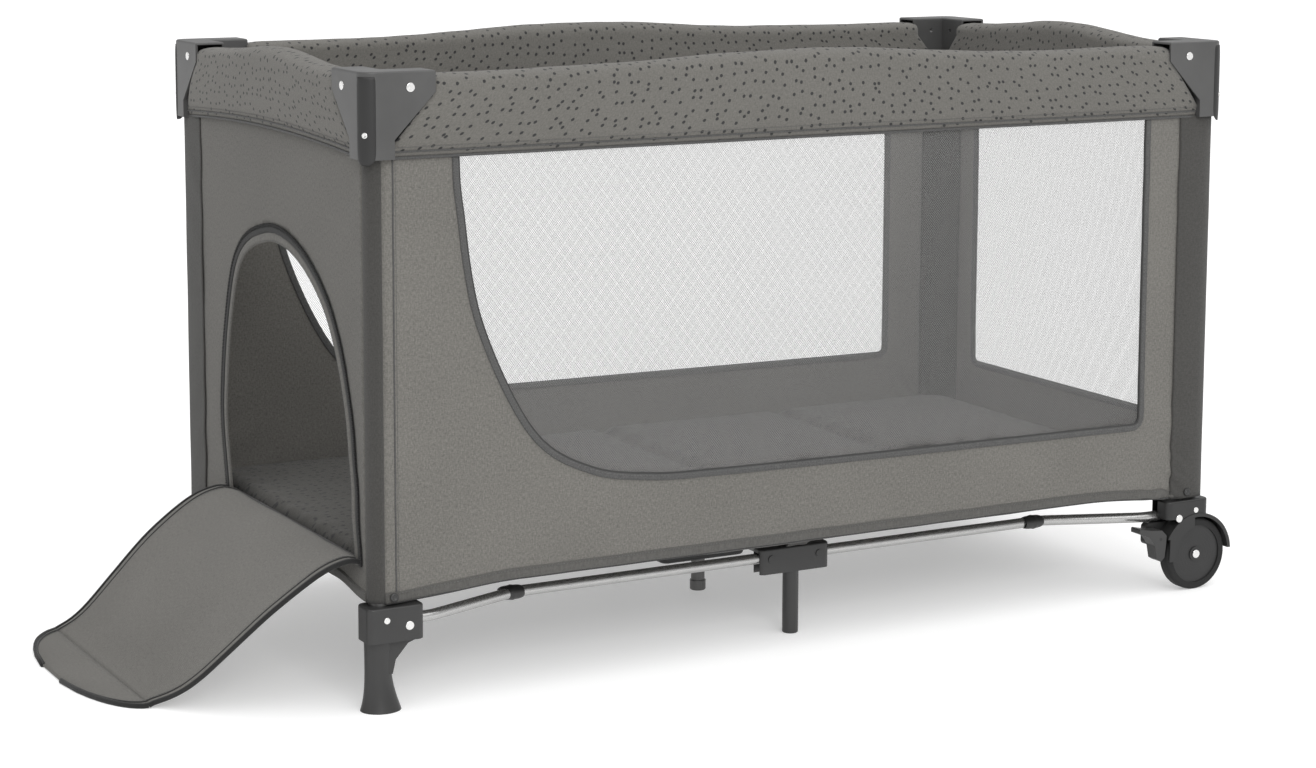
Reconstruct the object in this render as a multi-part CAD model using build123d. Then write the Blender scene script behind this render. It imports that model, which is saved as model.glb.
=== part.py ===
from build123d import *
import math
import os

# Folding travel cot (playpen) with two castors, a zipped crawl-through door and a lift-out mattress.
# Frame: origin on the ground under the centre leg, +X along the length to the castor end,
# +Y to the rear, +Z up. Millimetres.

# ---- driving dimensions ------------------------------------------------------------------
BRACKET_LENGTH = 1260.0      # over the outer faces of the corner brackets
BRACKET_WIDTH = 655.0
BRACKET_TOP = 760.0
BRACKET_TIP = 658.0          # lowest point of a corner bracket
WING = 92.0                  # length of a bracket wing from the outer corner
WING_DROP = 25.0             # height of a wing at its free end
SHELL = 3.0                  # wall of the moulded brackets

POST_R = 12.5
POST_WALL = 1.2
POST_X = BRACKET_LENGTH / 2 - 25.0
POST_Y = BRACKET_WIDTH / 2 - 26.0
POST_BOTTOM = 100.0

RAIL_R = 9.0
RAIL_WALL = 1.2
RAIL_Z = 741.0
PIVOT_OFFSET = 35.0          # from a post's axis to the rail pivots beside it
LONG_ARM = 540.0             # pivot to pivot, the same for a long rail half and a base arm
SHORT_ARM = 226.0            # pivot to pivot, the same for a short rail half and a cross link
LONG_PIVOT_X = POST_X - PIVOT_OFFSET
SHORT_PIVOT_Y = POST_Y - PIVOT_OFFSET
LATCH_PIVOT_X = LONG_PIVOT_X - LONG_ARM
LATCH_PIVOT_Y = SHORT_PIVOT_Y - SHORT_ARM
LATCH_TOP = 756.0
LATCH_HALF = 14.0            # half width of a rail latch
LATCH_BOTTOM = -12.0         # from the rail's axis

BASE_Z = 104.0               # height of every base pivot
ARM_R = 7.0
HUB_PIVOT_X = 36.0           # arm pivots in the side hubs
FOOT_PIVOT_X = HUB_PIVOT_X + LONG_ARM
FOOT_PIVOT_Y = 296.0
SIDE_HUB_Y = 245.0
LINK_PIVOT_Y = SHORT_ARM
LINK_R = 6.0
LEG_R = 10.5

PIN_R = 3.0
SCREW_R = 2.5
FIT = 0.05                   # radial running clearance on every pin

WHEEL_R = 50.0
WHEEL_X = 609.0
WHEEL_FACES = (305.0, 323.5)  # inner and outer side of a wheel, from the centre plane
HOOD_FACE = 327.0            # outer side of the hood that half covers the wheel
AXLE_R = 4.0
HOOD_R = WHEEL_R + 8
BRAKE_PIVOT = (546.0, 78.0)  # x and z of the lever's pin

CLOTH = 2.2                  # thickness of the wall fabric
PANEL_Y = POST_Y + POST_R + 0.3      # inner face of the long walls, just outside the posts
PANEL_X = POST_X + POST_R + 0.3
PANEL_BOTTOM = 134.0
PANEL_TOP = 655.0
COVER_HALF = 22.0            # half width of the padded rail covers
COVER_CLOTH = 3.5
COVER_TOP = 756.0
COVER_CROWN = 769.0          # over the latch in the middle of a rail
MATTRESS = (1195.0, 596.0, 26.0)
MATTRESS_BOTTOM = 150.0
FLOOR_BOTTOM = 130.0

SILL = (-622.0, 172.0)       # hinge line of the door flap, x and z
RAMP_FOOT = (-850.0, 4.0)    # where the flap meets the ground
FLAP_TIP_X = -905.0
FLAP_CLOTH = 3.0


# ---- small helpers -----------------------------------------------------------------------
def block(x0, x1, y0, y1, z0, z1):
    """A box between two corners."""
    return Pos((x0 + x1) / 2, (y0 + y1) / 2, (z0 + z1) / 2) * Box(x1 - x0, y1 - y0, z1 - z0)


def rod_x(r, x0, x1, y, z):
    return Pos((x0 + x1) / 2, y, z) * Rot(0, 90, 0) * Cylinder(r, x1 - x0)


def rod_y(r, y0, y1, x, z):
    return Pos(x, (y0 + y1) / 2, z) * Rot(90, 0, 0) * Cylinder(r, y1 - y0)


def rod_z(r, z0, z1, x, y):
    return Pos(x, y, (z0 + z1) / 2) * Cylinder(r, z1 - z0)


def plate_xz(points, y0, y1):
    """A flat outline in X and Z, extruded from y0 to y1."""
    face = Plane.XZ * make_face(Polyline(*points, close=True))
    return Pos(0, y1, 0) * extrude(face, y1 - y0)


def at_corner(shape, side, end):
    """Mirror a front-left shape to the corner named by side (front, rear) and end (left, right)."""
    if end == "right":
        shape = mirror(shape, about=Plane.YZ)
    if side == "rear":
        shape = mirror(shape, about=Plane.XZ)
    return shape


def save(name, shape):
    solids = shape.solids()
    export_step(solids[0] if len(solids) == 1 else Compound(children=list(solids)), f"parts/{name}.step")


def domed_rivet(r, length, head_r, head):
    """A pin along +Z from z=0 with a low domed head on top."""
    dome = Pos(0, 0, length) * Cylinder(head_r, head, align=(Align.CENTER, Align.CENTER, Align.MIN))
    dome = fillet(dome.edges().sort_by(Axis.Z)[-1], head * 0.8)
    return Cylinder(r, length, align=(Align.CENTER, Align.CENTER, Align.MIN)) + dome


# ---- top frame ---------------------------------------------------------------------------
def post():
    """Upright tube of a corner, closed below by a plug so that it can't whistle or fill."""
    tube = rod_z(POST_R, POST_BOTTOM, BRACKET_TOP - 8, -POST_X, -POST_Y)
    bore = rod_z(POST_R - POST_WALL, POST_BOTTOM + 12, BRACKET_TOP - 8, -POST_X, -POST_Y)
    return tube - bore


def wing_profile(outer, tip):
    """Side outline of a bracket wing: straight top, short end, long diagonal to the tip."""
    return [(-outer, BRACKET_TOP), (-tip, BRACKET_TOP), (-tip, BRACKET_TOP - WING_DROP),
            (-outer + 18, BRACKET_TIP), (-outer, BRACKET_TIP)]


def corner_bracket():
    """Moulded bracket: a rounded corner and two hollow wings that hold the rail ends."""
    outer_x = BRACKET_LENGTH / 2
    outer_y = BRACKET_WIDTH / 2
    inner_x = POST_X - (outer_x - POST_X) + 10
    inner_y = POST_Y - (outer_y - POST_Y) + 12
    long_wing = plate_xz(wing_profile(outer_x, outer_x - WING), -outer_y, -inner_y)
    short_face = Plane.YZ * make_face(Polyline(*wing_profile(outer_y, outer_y - WING), close=True))
    short_wing = Pos(-outer_x, 0, 0) * extrude(short_face, outer_x - inner_x)
    body = long_wing + short_wing
    rounding = extrude(Plane.XY * fillet(
        (Pos(-outer_x + 150, -outer_y + 150) * Rectangle(300, 300)).vertices(), 18), BRACKET_TOP + 50)
    body = body & rounding
    top = body.edges().filter_by_position(Axis.Z, BRACKET_TOP, BRACKET_TOP)
    body = fillet(top, 2.5)
    roof = BRACKET_TOP - SHELL
    long_hollow = block(-POST_X + 15, -outer_x + WING + 5, -outer_y + SHELL, -inner_y - SHELL, 600, roof)
    short_hollow = block(-outer_x + SHELL, -inner_x - SHELL, -POST_Y + 15, -outer_y + WING + 5, 600, roof)
    body = body - long_hollow - short_hollow
    gap = RAIL_R + 0.3
    for boss in (rod_y(8, -outer_y + SHELL, -POST_Y - gap, -LONG_PIVOT_X, RAIL_Z),
                 rod_y(8, -POST_Y + gap, -inner_y - SHELL, -LONG_PIVOT_X, RAIL_Z),
                 rod_x(8, -outer_x + SHELL, -POST_X - gap, -SHORT_PIVOT_Y, RAIL_Z),
                 rod_x(8, -POST_X + gap, -inner_x - SHELL, -SHORT_PIVOT_Y, RAIL_Z)):
        body = body + boss
    body = body - rod_z(POST_R, 600, BRACKET_TOP - 8, -POST_X, -POST_Y)
    body = body - rod_y(PIN_R, -outer_y - 1, -inner_y + 1, -LONG_PIVOT_X, RAIL_Z)
    body = body - rod_x(PIN_R, -outer_x - 1, -inner_x + 1, -SHORT_PIVOT_Y, RAIL_Z)
    return body.solids().sort_by(SortBy.VOLUME)[-1]


def rail_half(length):
    """Half of a folding rail along +X from its bracket pivot at the origin to its latch pivot."""
    tube = rod_x(RAIL_R, 0, length, 0, 0)
    for x in (0, length):
        tube = tube + (rod_x(RAIL_R, x - RAIL_R, x + RAIL_R, 0, 0) & rod_y(RAIL_R, -20, 20, x, 0))
    tube = tube - rod_x(RAIL_R - RAIL_WALL, 20, length - 20, 0, 0)
    for x in (0, length):
        tube = tube - rod_y(PIN_R + FIT, -20, 20, x, 0)
    return tube


def latch_housing(pivot):
    """Rail latch along X: a trough open above, in which the rail ends turn upwards on two pins."""
    inside = RAIL_R + 0.3
    reach = pivot + 25
    shell = block(-reach, reach, -LATCH_HALF, LATCH_HALF, LATCH_BOTTOM, LATCH_TOP - RAIL_Z)
    shell = fillet(shell.edges().filter_by(Axis.Z), 9)
    shell = fillet(shell.edges().group_by(Axis.Z)[-1], 4)
    for x0, x1 in ((-reach - 1, -pivot + inside), (pivot - inside, reach + 1)):
        shell = shell - block(x0, x1, -inside, inside, -inside, 40)
    shell = shell - block(-8.5, 8.5, -6.5, 6.5, LATCH_BOTTOM - 1, -2)
    for x in (-pivot, pivot):
        shell = shell + rod_y(PIN_R, -LATCH_HALF + 1, LATCH_HALF - 1, x, 0)
    return shell


def latch_button():
    """Push button below the latch, pressed upwards to free the rail."""
    cap = block(-14, 14, -9, 9, -20, -17.5)
    cap = fillet(cap.edges().filter_by(Axis.Z), 6)
    return cap + block(-8, 8, -6, 6, -17.5, -8)


# ---- base frame --------------------------------------------------------------------------
def base_arm():
    """Front-left base arm: a bent tube from the foot pivot to the side hub pivot."""
    path = FilletPolyline((-FOOT_PIVOT_X, -FOOT_PIVOT_Y, BASE_Z), (-FOOT_PIVOT_X + 41, -FOOT_PIVOT_Y, BASE_Z),
                          (-400, -SIDE_HUB_Y, BASE_Z), (-HUB_PIVOT_X, -SIDE_HUB_Y, BASE_Z), radius=60)
    plane = Plane(origin=path @ 0, z_dir=path % 0)
    tube = sweep(plane * Circle(ARM_R), path=path)
    ends = ((-FOOT_PIVOT_X, -FOOT_PIVOT_Y), (-HUB_PIVOT_X, -SIDE_HUB_Y))
    for x, y in ends:
        rounded = rod_x(ARM_R, x - ARM_R, x + ARM_R, y, BASE_Z)
        tube = tube + (rounded & rod_y(ARM_R, y - 20, y + 20, x, BASE_Z))
    for x, y in ends:
        tube = tube - rod_y(PIN_R + FIT, y - 20, y + 20, x, BASE_Z)
    return tube


def side_hub():
    """Front side hub: an inverted channel over the arm ends, link lugs behind it and a leg below."""
    half_x, half_y, top, bottom = 52.5, 12.0, 118.0, 84.0
    y = -SIDE_HUB_Y
    hub = block(-half_x, half_x, y - half_y, y + half_y, bottom, top)
    hub = fillet(hub.edges().filter_by(Axis.Z), 8)
    hub = fillet(hub.edges().group_by(Axis.Z)[-1], 3)
    inside = ARM_R + 0.3
    hub = hub - block(-half_x - 1, -16, y - inside, y + inside, bottom - 5, BASE_Z + ARM_R + 1)
    hub = hub - block(16, half_x + 1, y - inside, y + inside, bottom - 5, BASE_Z + ARM_R + 1)
    leg = rod_z(LEG_R, 0, bottom + 6, 0, y)
    leg = fillet(leg.edges().group_by(Axis.Z)[0], 2)
    hub = hub + leg
    for x in (-HUB_PIVOT_X, HUB_PIVOT_X):
        hub = hub + rod_y(PIN_R, y - half_y - 1.2, y + half_y, x, BASE_Z)
        hub = hub + rod_y(5, y - half_y - 1.2, y - half_y, x, BASE_Z)
    for x0, x1 in ((-36, -30), (-14, 14), (30, 36)):
        hub = hub + block(x0, x1, y + half_y - 1, -LINK_PIVOT_Y + 7, BASE_Z - 7, BASE_Z + 9)
    return hub + rod_x(PIN_R, -36, 36, -LINK_PIVOT_Y, BASE_Z)


def cross_link(spread):
    """Twin-tube link from the centre hub's axle to the front side hub, with a cross bar."""
    link = None
    for x in (-spread, spread):
        tube = rod_y(LINK_R, -LINK_PIVOT_Y, 0, x, BASE_Z)
        for y in (-LINK_PIVOT_Y, 0):
            rounded = rod_y(LINK_R, y - LINK_R, y + LINK_R, x, BASE_Z)
            tube = tube + (rounded & rod_x(LINK_R, x - 10, x + 10, y, BASE_Z))
        link = tube if link is None else link + tube
    link = link + rod_x(4, -spread, spread, -120, BASE_Z)
    link = link - rod_x(AXLE_R + FIT, -90, 90, 0, BASE_Z)
    return link - rod_x(PIN_R + FIT, -90, 90, -LINK_PIVOT_Y, BASE_Z)


def centre_hub():
    """Centre hub: a shallow tray with three upright lugs that carry the common axle."""
    hub = block(-66, 66, -20, 20, 46, 88)
    hub = fillet(hub.edges().filter_by(Axis.Z), 12)
    hub = fillet(hub.edges().group_by(Axis.Z)[0], 5)
    for x0, x1 in ((-66, -55), (-12, 12), (55, 66)):
        lug = block(x0, x1, -12, 12, 80, BASE_Z) + rod_x(12, x0, x1, 0, BASE_Z)
        hub = hub + lug
    hub = hub - rod_x(AXLE_R, -70, 70, 0, BASE_Z)
    return hub - rod_z(9.5, 40, 60, 0, 0)


def centre_leg():
    """Centre leg: a tube pressed into the hub, with a closed foot cap on the ground."""
    leg = rod_z(9.5, 8, 60, 0, 0) + rod_z(11, 0, 14, 0, 0)
    return fillet(leg.edges().group_by(Axis.Z)[0], 2) - rod_z(8, 20, 60, 0, 0)


# ---- feet and castors --------------------------------------------------------------------
def socket_block(bottom):
    """Upper part of a foot or castor housing: the post socket and the slot of the base arm."""
    x0, x1, y0, y1 = -628.0, -556.0, -326.0, -286.0
    body = block(x0, x1, y0, y1, bottom, 128)
    body = fillet(body.edges().filter_by(Axis.Z), 9)
    return fillet(body.edges().group_by(Axis.Z)[-1], 2.5)


def cut_socket(body):
    """Cut the post socket, the slot of the base arm, its pin hole and the screw hole."""
    slot_half = ARM_R + 0.35
    body = body - block(-590, -530, -FOOT_PIVOT_Y - slot_half, -FOOT_PIVOT_Y + slot_half, 96, 140)
    body = body - rod_z(POST_R, POST_BOTTOM, 140, -POST_X, -POST_Y)
    body = body - rod_y(PIN_R, -340, -280, -FOOT_PIVOT_X, BASE_Z)
    return body - rod_y(SCREW_R, -340, -POST_Y, -POST_X, 113)


def foot():
    """Front-left foot: the socket, a waisted leg and a flared elliptical base."""
    sections = ((104, 36, 34, -608), (72, 33, 30, -608), (44, 33, 29, -608),
                (18, 40, 35, -606), (0, 50, 44, -605))
    faces = [Pos(x, -304, z) * Ellipse(length / 2, width / 2) for z, length, width, x in sections]
    leg = loft([Plane.XY * face for face in faces])
    web = plate_xz([(-600, 100), (-557, 100), (-557, 86), (-574, 80), (-590, 62), (-594, 45), (-604, 45)],
                   -316, -294)
    return cut_socket(socket_block(86) + leg + web)


def castor_housing():
    """Castor housing, drawn for the front-left corner and mirrored: socket, fork, hood, brake lug."""
    wheel_out = WHEEL_FACES[1]
    body = socket_block(103)
    slot_floor = block(-592, -556, -303.35, -286, 88, 104)
    fork = plate_xz([(-628, 105), (-586, 105), (-584, 88), (-596, 50), (-622, 50), (-628, 88)], -303.5, -290)
    fork = fork + rod_y(13, -303.5, -290, -WHEEL_X, WHEEL_R)
    hood = rod_y(HOOD_R, -HOOD_FACE, -303, -WHEEL_X, WHEEL_R) \
        - rod_y(WHEEL_R + 3, -HOOD_FACE - 1, -303, -WHEEL_X, WHEEL_R)
    cheek = rod_y(HOOD_R, -HOOD_FACE, -wheel_out - 1, -WHEEL_X, WHEEL_R) \
        - rod_y(40, -HOOD_FACE - 1, -wheel_out, -WHEEL_X - 2, WHEEL_R)
    cheek = cheek - block(-700, -WHEEL_X + 6, -340, -300, -20, 200) \
        - block(-700, -500, -340, -300, -20, WHEEL_R - 6)
    hood = hood - block(-700, -500, -340, -290, -20, WHEEL_R + 4)
    hood = hood + cheek - block(-561, -500, -340, -290, -20, 76)
    inner_wall = rod_y(HOOD_R, -303, -300, -WHEEL_X, WHEEL_R) - block(-700, -500, -340, -290, -20, 62)
    lug = block(-574, -537, -303.3, -292, 66, 96)
    lug = fillet(lug.edges().filter_by(Axis.Y), 6)
    body = body + slot_floor + fork + hood + inner_wall + lug
    body = cut_socket(body) + rod_y(SCREW_R, -325, -300, -BRAKE_PIVOT[0], BRAKE_PIVOT[1])
    return body - rod_y(AXLE_R, -340, -280, -WHEEL_X, WHEEL_R)


def wheel():
    """Wheel for the front-left corner: a dished disc with a rim and a rubber tyre round it."""
    wheel_in, wheel_out = WHEEL_FACES
    disc_r = WHEEL_R - 10
    tyre = rod_y(WHEEL_R, -wheel_out, -wheel_in, -WHEEL_X, WHEEL_R)
    tyre = fillet(tyre.edges(), 4)
    tyre = tyre - rod_y(disc_r, -wheel_out - 1, -wheel_out + 2, -WHEEL_X, WHEEL_R)
    tyre = tyre - rod_y(disc_r, -wheel_in - 7, -wheel_in + 1, -WHEEL_X, WHEEL_R)
    tyre = tyre + rod_y(10, -wheel_out + 0.5, -wheel_in, -WHEEL_X, WHEEL_R)
    return tyre - rod_y(AXLE_R + FIT, -340, -280, -WHEEL_X, WHEEL_R)


def brake_lever():
    """Brake lever for the front-left corner: a toe tab and a shoe beside the tyre."""
    outline = [(-509, 96), (-509, 89), (-527, 82), (-536, 70), (-540, 50), (-547, 46), (-553, 52),
               (-555, 68), (-556, 82), (-548, 90), (-528, 92)]
    lever = plate_xz(outline, -325, -306)
    lever = fillet(lever.edges().filter_by(Axis.Y), 2)
    return lever - rod_y(SCREW_R + FIT, -330, -300, -BRAKE_PIVOT[0], BRAKE_PIVOT[1])


def corner_rivets(with_axle):
    """Steel fasteners of the front-left corner: rail pins, arm pin, socket screw, wheel axle."""
    outer_x = BRACKET_LENGTH / 2
    outer_y = BRACKET_WIDTH / 2
    long_pin = Pos(-LONG_PIVOT_X, 0, RAIL_Z) * Rot(90, 0, 0) * Pos(0, 0, 291) \
        * domed_rivet(PIN_R, outer_y - 291, 5.5, 1.2)
    short_pin = Pos(0, -SHORT_PIVOT_Y, RAIL_Z) * Rot(0, -90, 0) * Pos(0, 0, 594) \
        * domed_rivet(PIN_R, outer_x - 594, 5.5, 1.2)
    arm_pin = Pos(-FOOT_PIVOT_X, 0, BASE_Z) * Rot(90, 0, 0) * Pos(0, 0, 287) \
        * domed_rivet(PIN_R, 326 - 287, 5.5, 1.2)
    screw = Pos(-POST_X, 0, 113) * Rot(90, 0, 0) * Pos(0, 0, POST_Y + POST_R + 0.05) \
        * domed_rivet(SCREW_R, 326 - POST_Y - POST_R - 0.05, 4, 1.0)
    pins = [long_pin, short_pin, arm_pin, screw]
    if with_axle:
        axle = Pos(-WHEEL_X, 0, WHEEL_R) * Rot(90, 0, 0) * Pos(0, 0, 289) \
            * domed_rivet(AXLE_R, WHEEL_FACES[1] - 289 + FIT, 6, 1.5)
        pins.append(axle)
    return pins


# ---- soft goods --------------------------------------------------------------------------
def cover_outline(half_length):
    """Side outline of a rail cover along X: level, with a low crown over the latch."""
    crown = min(half_length / 2, 150.0)
    foot_half = half_length + 15
    wing_end = BRACKET_TOP - WING_DROP - 2
    half = [(crown, COVER_TOP), (half_length, COVER_TOP), (half_length, wing_end),
            (foot_half, PANEL_TOP + 18), (foot_half, PANEL_TOP + 2)]
    line = Polyline(*[(-x, z) for x, z in half], *reversed(half))
    top = Spline((crown, COVER_TOP), (0, COVER_CROWN), (-crown, COVER_TOP), tangents=((-1, 0), (-1, 0)))
    return make_face(Curve() + line + top)


def rail_cover(half_length, y0):
    """Padded sleeve over a rail along X: two skirts joined over the top, open below."""
    body = Pos(0, y0 + COVER_HALF, 0) * extrude(Plane.XZ * cover_outline(half_length), 2 * COVER_HALF)
    inner = COVER_HALF - COVER_CLOTH
    hollow = block(-half_length - 50, half_length + 50, y0 - inner, y0 + inner, 600, COVER_TOP - COVER_CLOTH)
    latch_room = block(-72, 72, y0 - inner, y0 + inner, 600, LATCH_TOP + 1.5)
    return body - hollow - latch_room


def long_window():
    """Outline of the mesh window of a long wall, with the big sweep at its left end."""
    left_top, right, bottom, top = -505.0, 508.0, 250.0, PANEL_TOP - 12
    sweep_curve = Spline((left_top, top), (-478, 462), (-408, 322), (-240, bottom),
                         tangents=((0, -1), (1, 0)))
    rest = Polyline((-240, bottom), (right, bottom), (right, top), (left_top, top))
    return make_face(Curve() + sweep_curve + rest)


def door_outline():
    """Arched doorway of the left wall, in Y and Z, leaning towards the front post."""
    arch = Spline((166, SILL[1]), (182, 300), (132, 482), (20, 541), (-100, 530), (-205, 462), (-262, 345),
                  (-286, SILL[1]))
    return make_face(Curve() + arch + Line((-286, SILL[1]), (166, SILL[1])))


def long_wall():
    """Front wall fabric with its mesh window, as two flat closed solids."""
    y0 = -PANEL_Y
    cloth = block(-612, 612, y0 - CLOTH, y0, PANEL_BOTTOM, PANEL_TOP)
    window = Pos(0, y0 + 5, 0) * extrude(Plane.XZ * long_window(), 20)
    mesh = Pos(0, y0 - 0.5, 0) * extrude(Plane.XZ * long_window(), 1.2)
    return [cloth - window, mesh]


def end_wall(end):
    """End wall fabric: an arched doorway at the left end, a mesh window at the right end."""
    x0, x1 = (-PANEL_X - CLOTH, -PANEL_X) if end == "left" else (PANEL_X, PANEL_X + CLOTH)
    cloth = block(x0, x1, -308, 308, PANEL_BOTTOM, PANEL_TOP)
    if end == "left":
        return [cloth - Pos(x0 - 5, 0, 0) * extrude(Plane.YZ * door_outline(), 20)]
    window = (-195, 228, 232, PANEL_TOP - 12)
    opening = block(x0 - 5, x1 + 5, *window)
    return [cloth - opening, block(x0 + 0.5, x0 + 1.7, *window)]


def floor_half():
    """Left half of the fabric floor, which lies on the base arms."""
    sheet = block(-612, -1, -300, 300, FLOOR_BOTTOM, FLOOR_BOTTOM + 2.5)
    corners = sheet.edges().filter_by(Axis.Z).group_by(Axis.X)[0]
    return fillet(corners, 45)


def mattress():
    """Thin padded mattress in four panels, with shallow creases between them."""
    length, width, thick = MATTRESS
    pad = Pos(0, 0, MATTRESS_BOTTOM + thick / 2) * Box(length, width, thick)
    pad = fillet(pad.edges().filter_by(Axis.Z), 42)
    pad = fillet(pad.edges().group_by(Axis.Z)[-1], 8)
    for x in (-length / 4, 0, length / 4):
        pad = pad - Pos(x, 0, MATTRESS_BOTTOM + thick) * Rot(0, 45, 0) * Box(9, width + 10, 9)
    return pad


def flap_slope():
    """Upper part of the open door flap: a ramp from the sill to the ground."""
    x0, z0 = SILL
    x1, z1 = RAMP_FOOT
    slope = math.atan2(z0 - z1, x0 - x1)
    up = (-math.sin(slope) * FLAP_CLOTH, math.cos(slope) * FLAP_CLOTH)
    outline = Polyline((x0, z0), (x1, z1), (x1 + up[0], z1 + up[1]), (x0 + up[0], z0 + up[1]), close=True)
    ramp = Pos(0, 200, 0) * extrude(Plane.XZ * make_face(outline), 500)
    plan = make_face(Polyline((SILL[0] + 20, -284), (-700, -270), (-840, -160), (-860, -150), (-860, 200),
                              (-840, 196), (-700, 178), (SILL[0] + 20, 164), close=True))
    return ramp & extrude(Plane.XY * plan, 300)


def flap_tip():
    """Rounded end of the door flap, flat on the ground."""
    edge = ThreePointArc((RAMP_FOOT[0] - 1, 197), (FLAP_TIP_X, 30), (RAMP_FOOT[0] - 1, -155))
    plan = make_face(Curve() + edge + Line((RAMP_FOOT[0] - 1, -155), (RAMP_FOOT[0] - 1, 197)))
    return extrude(Plane.XY * plan, FLAP_CLOTH)


# ---- write every sub-part ----------------------------------------------------------------
def main():
    os.makedirs("parts", exist_ok=True)
    foot_shape = foot()
    castor_shape = castor_housing()
    bracket_shape = corner_bracket()
    arm_shape = base_arm()
    long_half = rail_half(LONG_ARM)
    short_half = rail_half(SHORT_ARM)
    for side in ("front", "rear"):
        for end in ("left", "right"):
            corner = f"{side}_{end}"
            save(f"{corner}_post", at_corner(post(), side, end))
            save(f"{corner}_bracket", at_corner(bracket_shape, side, end))
            base = castor_shape if end == "right" else foot_shape
            base_name = f"{corner}_castor_housing" if end == "right" else f"{corner}_foot"
            save(base_name, at_corner(base, side, end))
            pins = [at_corner(pin, side, end) for pin in corner_rivets(end == "right")]
            save(f"{corner}_rivets", Compound(children=pins))
            save(f"{corner}_base_arm", at_corner(arm_shape, side, end))
            long_rail = Pos(-LONG_PIVOT_X, -POST_Y, RAIL_Z) * long_half
            save(f"{corner}_long_rail", at_corner(long_rail, side, end))
            short_rail = Pos(-POST_X, -SHORT_PIVOT_Y, RAIL_Z) * Rot(0, 0, 90) * short_half
            save(f"{corner}_short_rail", at_corner(short_rail, side, end))
        save(f"{side}_wheel", at_corner(wheel(), side, "right"))
        save(f"{side}_brake_lever", at_corner(brake_lever(), side, "right"))
        save(f"{side}_side_hub", at_corner(side_hub(), side, "left"))
        save(f"{side}_wall", Compound(children=[at_corner(s, side, "left") for s in long_wall()]))
        place = Pos(0, -POST_Y if side == "front" else POST_Y, RAIL_Z)
        save(f"{side}_latch", place * latch_housing(LATCH_PIVOT_X))
        save(f"{side}_latch_button", place * latch_button())
        cover = rail_cover(BRACKET_LENGTH / 2 - WING - 2, -POST_Y)
        save(f"{side}_rail_cover", at_corner(cover, side, "left"))
    for end, x in (("left", -POST_X), ("right", POST_X)):
        place = Pos(x, 0, RAIL_Z) * Rot(0, 0, 90)
        save(f"{end}_latch", place * latch_housing(LATCH_PIVOT_Y))
        save(f"{end}_latch_button", place * latch_button())
        cover = Pos(x, 0, 0) * Rot(0, 0, 90) * rail_cover(BRACKET_WIDTH / 2 - WING - 2, 0)
        save(f"{end}_rail_cover", cover)
        save(f"{end}_wall", Compound(children=end_wall(end)))
        save(f"{end}_floor", at_corner(floor_half(), "front", end))
    save("front_cross_link", cross_link(22))
    save("rear_cross_link", mirror(cross_link(45), about=Plane.XZ))
    save("centre_hub", centre_hub())
    save("centre_leg", centre_leg())
    save("hub_axle", rod_x(AXLE_R, -68, 68, 0, BASE_Z))
    save("mattress", mattress())
    save("door_flap", flap_slope())
    save("door_flap_tip", flap_tip())


main()
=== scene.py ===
import math

import bpy
import numpy as np
from mathutils import Matrix, Vector, noise
from mathutils.geometry import delaunay_2d_cdt


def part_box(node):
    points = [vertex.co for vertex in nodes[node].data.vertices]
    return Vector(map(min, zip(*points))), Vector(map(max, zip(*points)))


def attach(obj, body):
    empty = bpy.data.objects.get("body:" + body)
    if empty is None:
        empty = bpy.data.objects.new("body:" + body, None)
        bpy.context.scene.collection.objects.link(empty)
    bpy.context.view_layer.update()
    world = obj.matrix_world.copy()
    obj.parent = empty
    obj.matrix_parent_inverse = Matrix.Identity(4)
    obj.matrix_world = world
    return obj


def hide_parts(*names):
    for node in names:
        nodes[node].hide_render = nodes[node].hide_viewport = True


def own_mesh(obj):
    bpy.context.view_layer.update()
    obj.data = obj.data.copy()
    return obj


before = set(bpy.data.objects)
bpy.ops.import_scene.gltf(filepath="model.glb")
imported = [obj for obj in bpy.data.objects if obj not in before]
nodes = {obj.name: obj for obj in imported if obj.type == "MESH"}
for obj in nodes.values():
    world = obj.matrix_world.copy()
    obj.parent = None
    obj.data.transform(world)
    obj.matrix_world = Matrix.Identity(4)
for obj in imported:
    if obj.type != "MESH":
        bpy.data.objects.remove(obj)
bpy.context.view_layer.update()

# Looks of a folding travel cot. Metres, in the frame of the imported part: X along the length to the
# castor end, Y to the rear, Z up, the ground at z = 0.

# ---- sizes, read from the frame ----------------------------------------------------------
post_low, post_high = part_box("rear_right_post")
POST_X = (post_low.x + post_high.x) / 2
POST_Y = (post_low.y + post_high.y) / 2
WALL_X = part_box("right_wall")[1].x
WALL_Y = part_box("rear_wall")[1].y
WALL_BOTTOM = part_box("front_wall")[0].z
WALL_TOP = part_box("front_wall")[1].z
BRACKET_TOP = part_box("front_left_bracket")[1].z
BRACKET_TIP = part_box("front_left_bracket")[0].z
WING_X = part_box("rear_right_bracket")[0].x
WING_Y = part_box("rear_right_bracket")[0].y
SILL = Vector((-WALL_X - 0.002, 0, 0.172))
WHEEL = (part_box("front_wheel")[0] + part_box("front_wheel")[1]) / 2
MAT_LOW, MAT_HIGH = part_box("mattress")
FLOOR_LOW, FLOOR_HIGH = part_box("left_floor")

CLOTH = 0.0016
STEP = 0.008                 # usual edge length of the cloth meshes
BINDING = 0.0085             # width of the tape round a window
ZIP = 0.010                  # width of the zip tape round the doorway
DOT_PITCH = 0.0150           # from dot to dot on the printed fabric
SLEEVE_BOTTOM = 0.1315       # lower end of the post sleeves
SHOULDER = 0.742             # height at which the sides of a rail cover turn over its top
COVER_HALF = 0.0163          # half the width of a rail cover at its edges, before it puffs out
PUFF = 0.0088                # how far its sides puff out
FLAP_ROW = 0.0062            # from row to row of the door flap mesh

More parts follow.
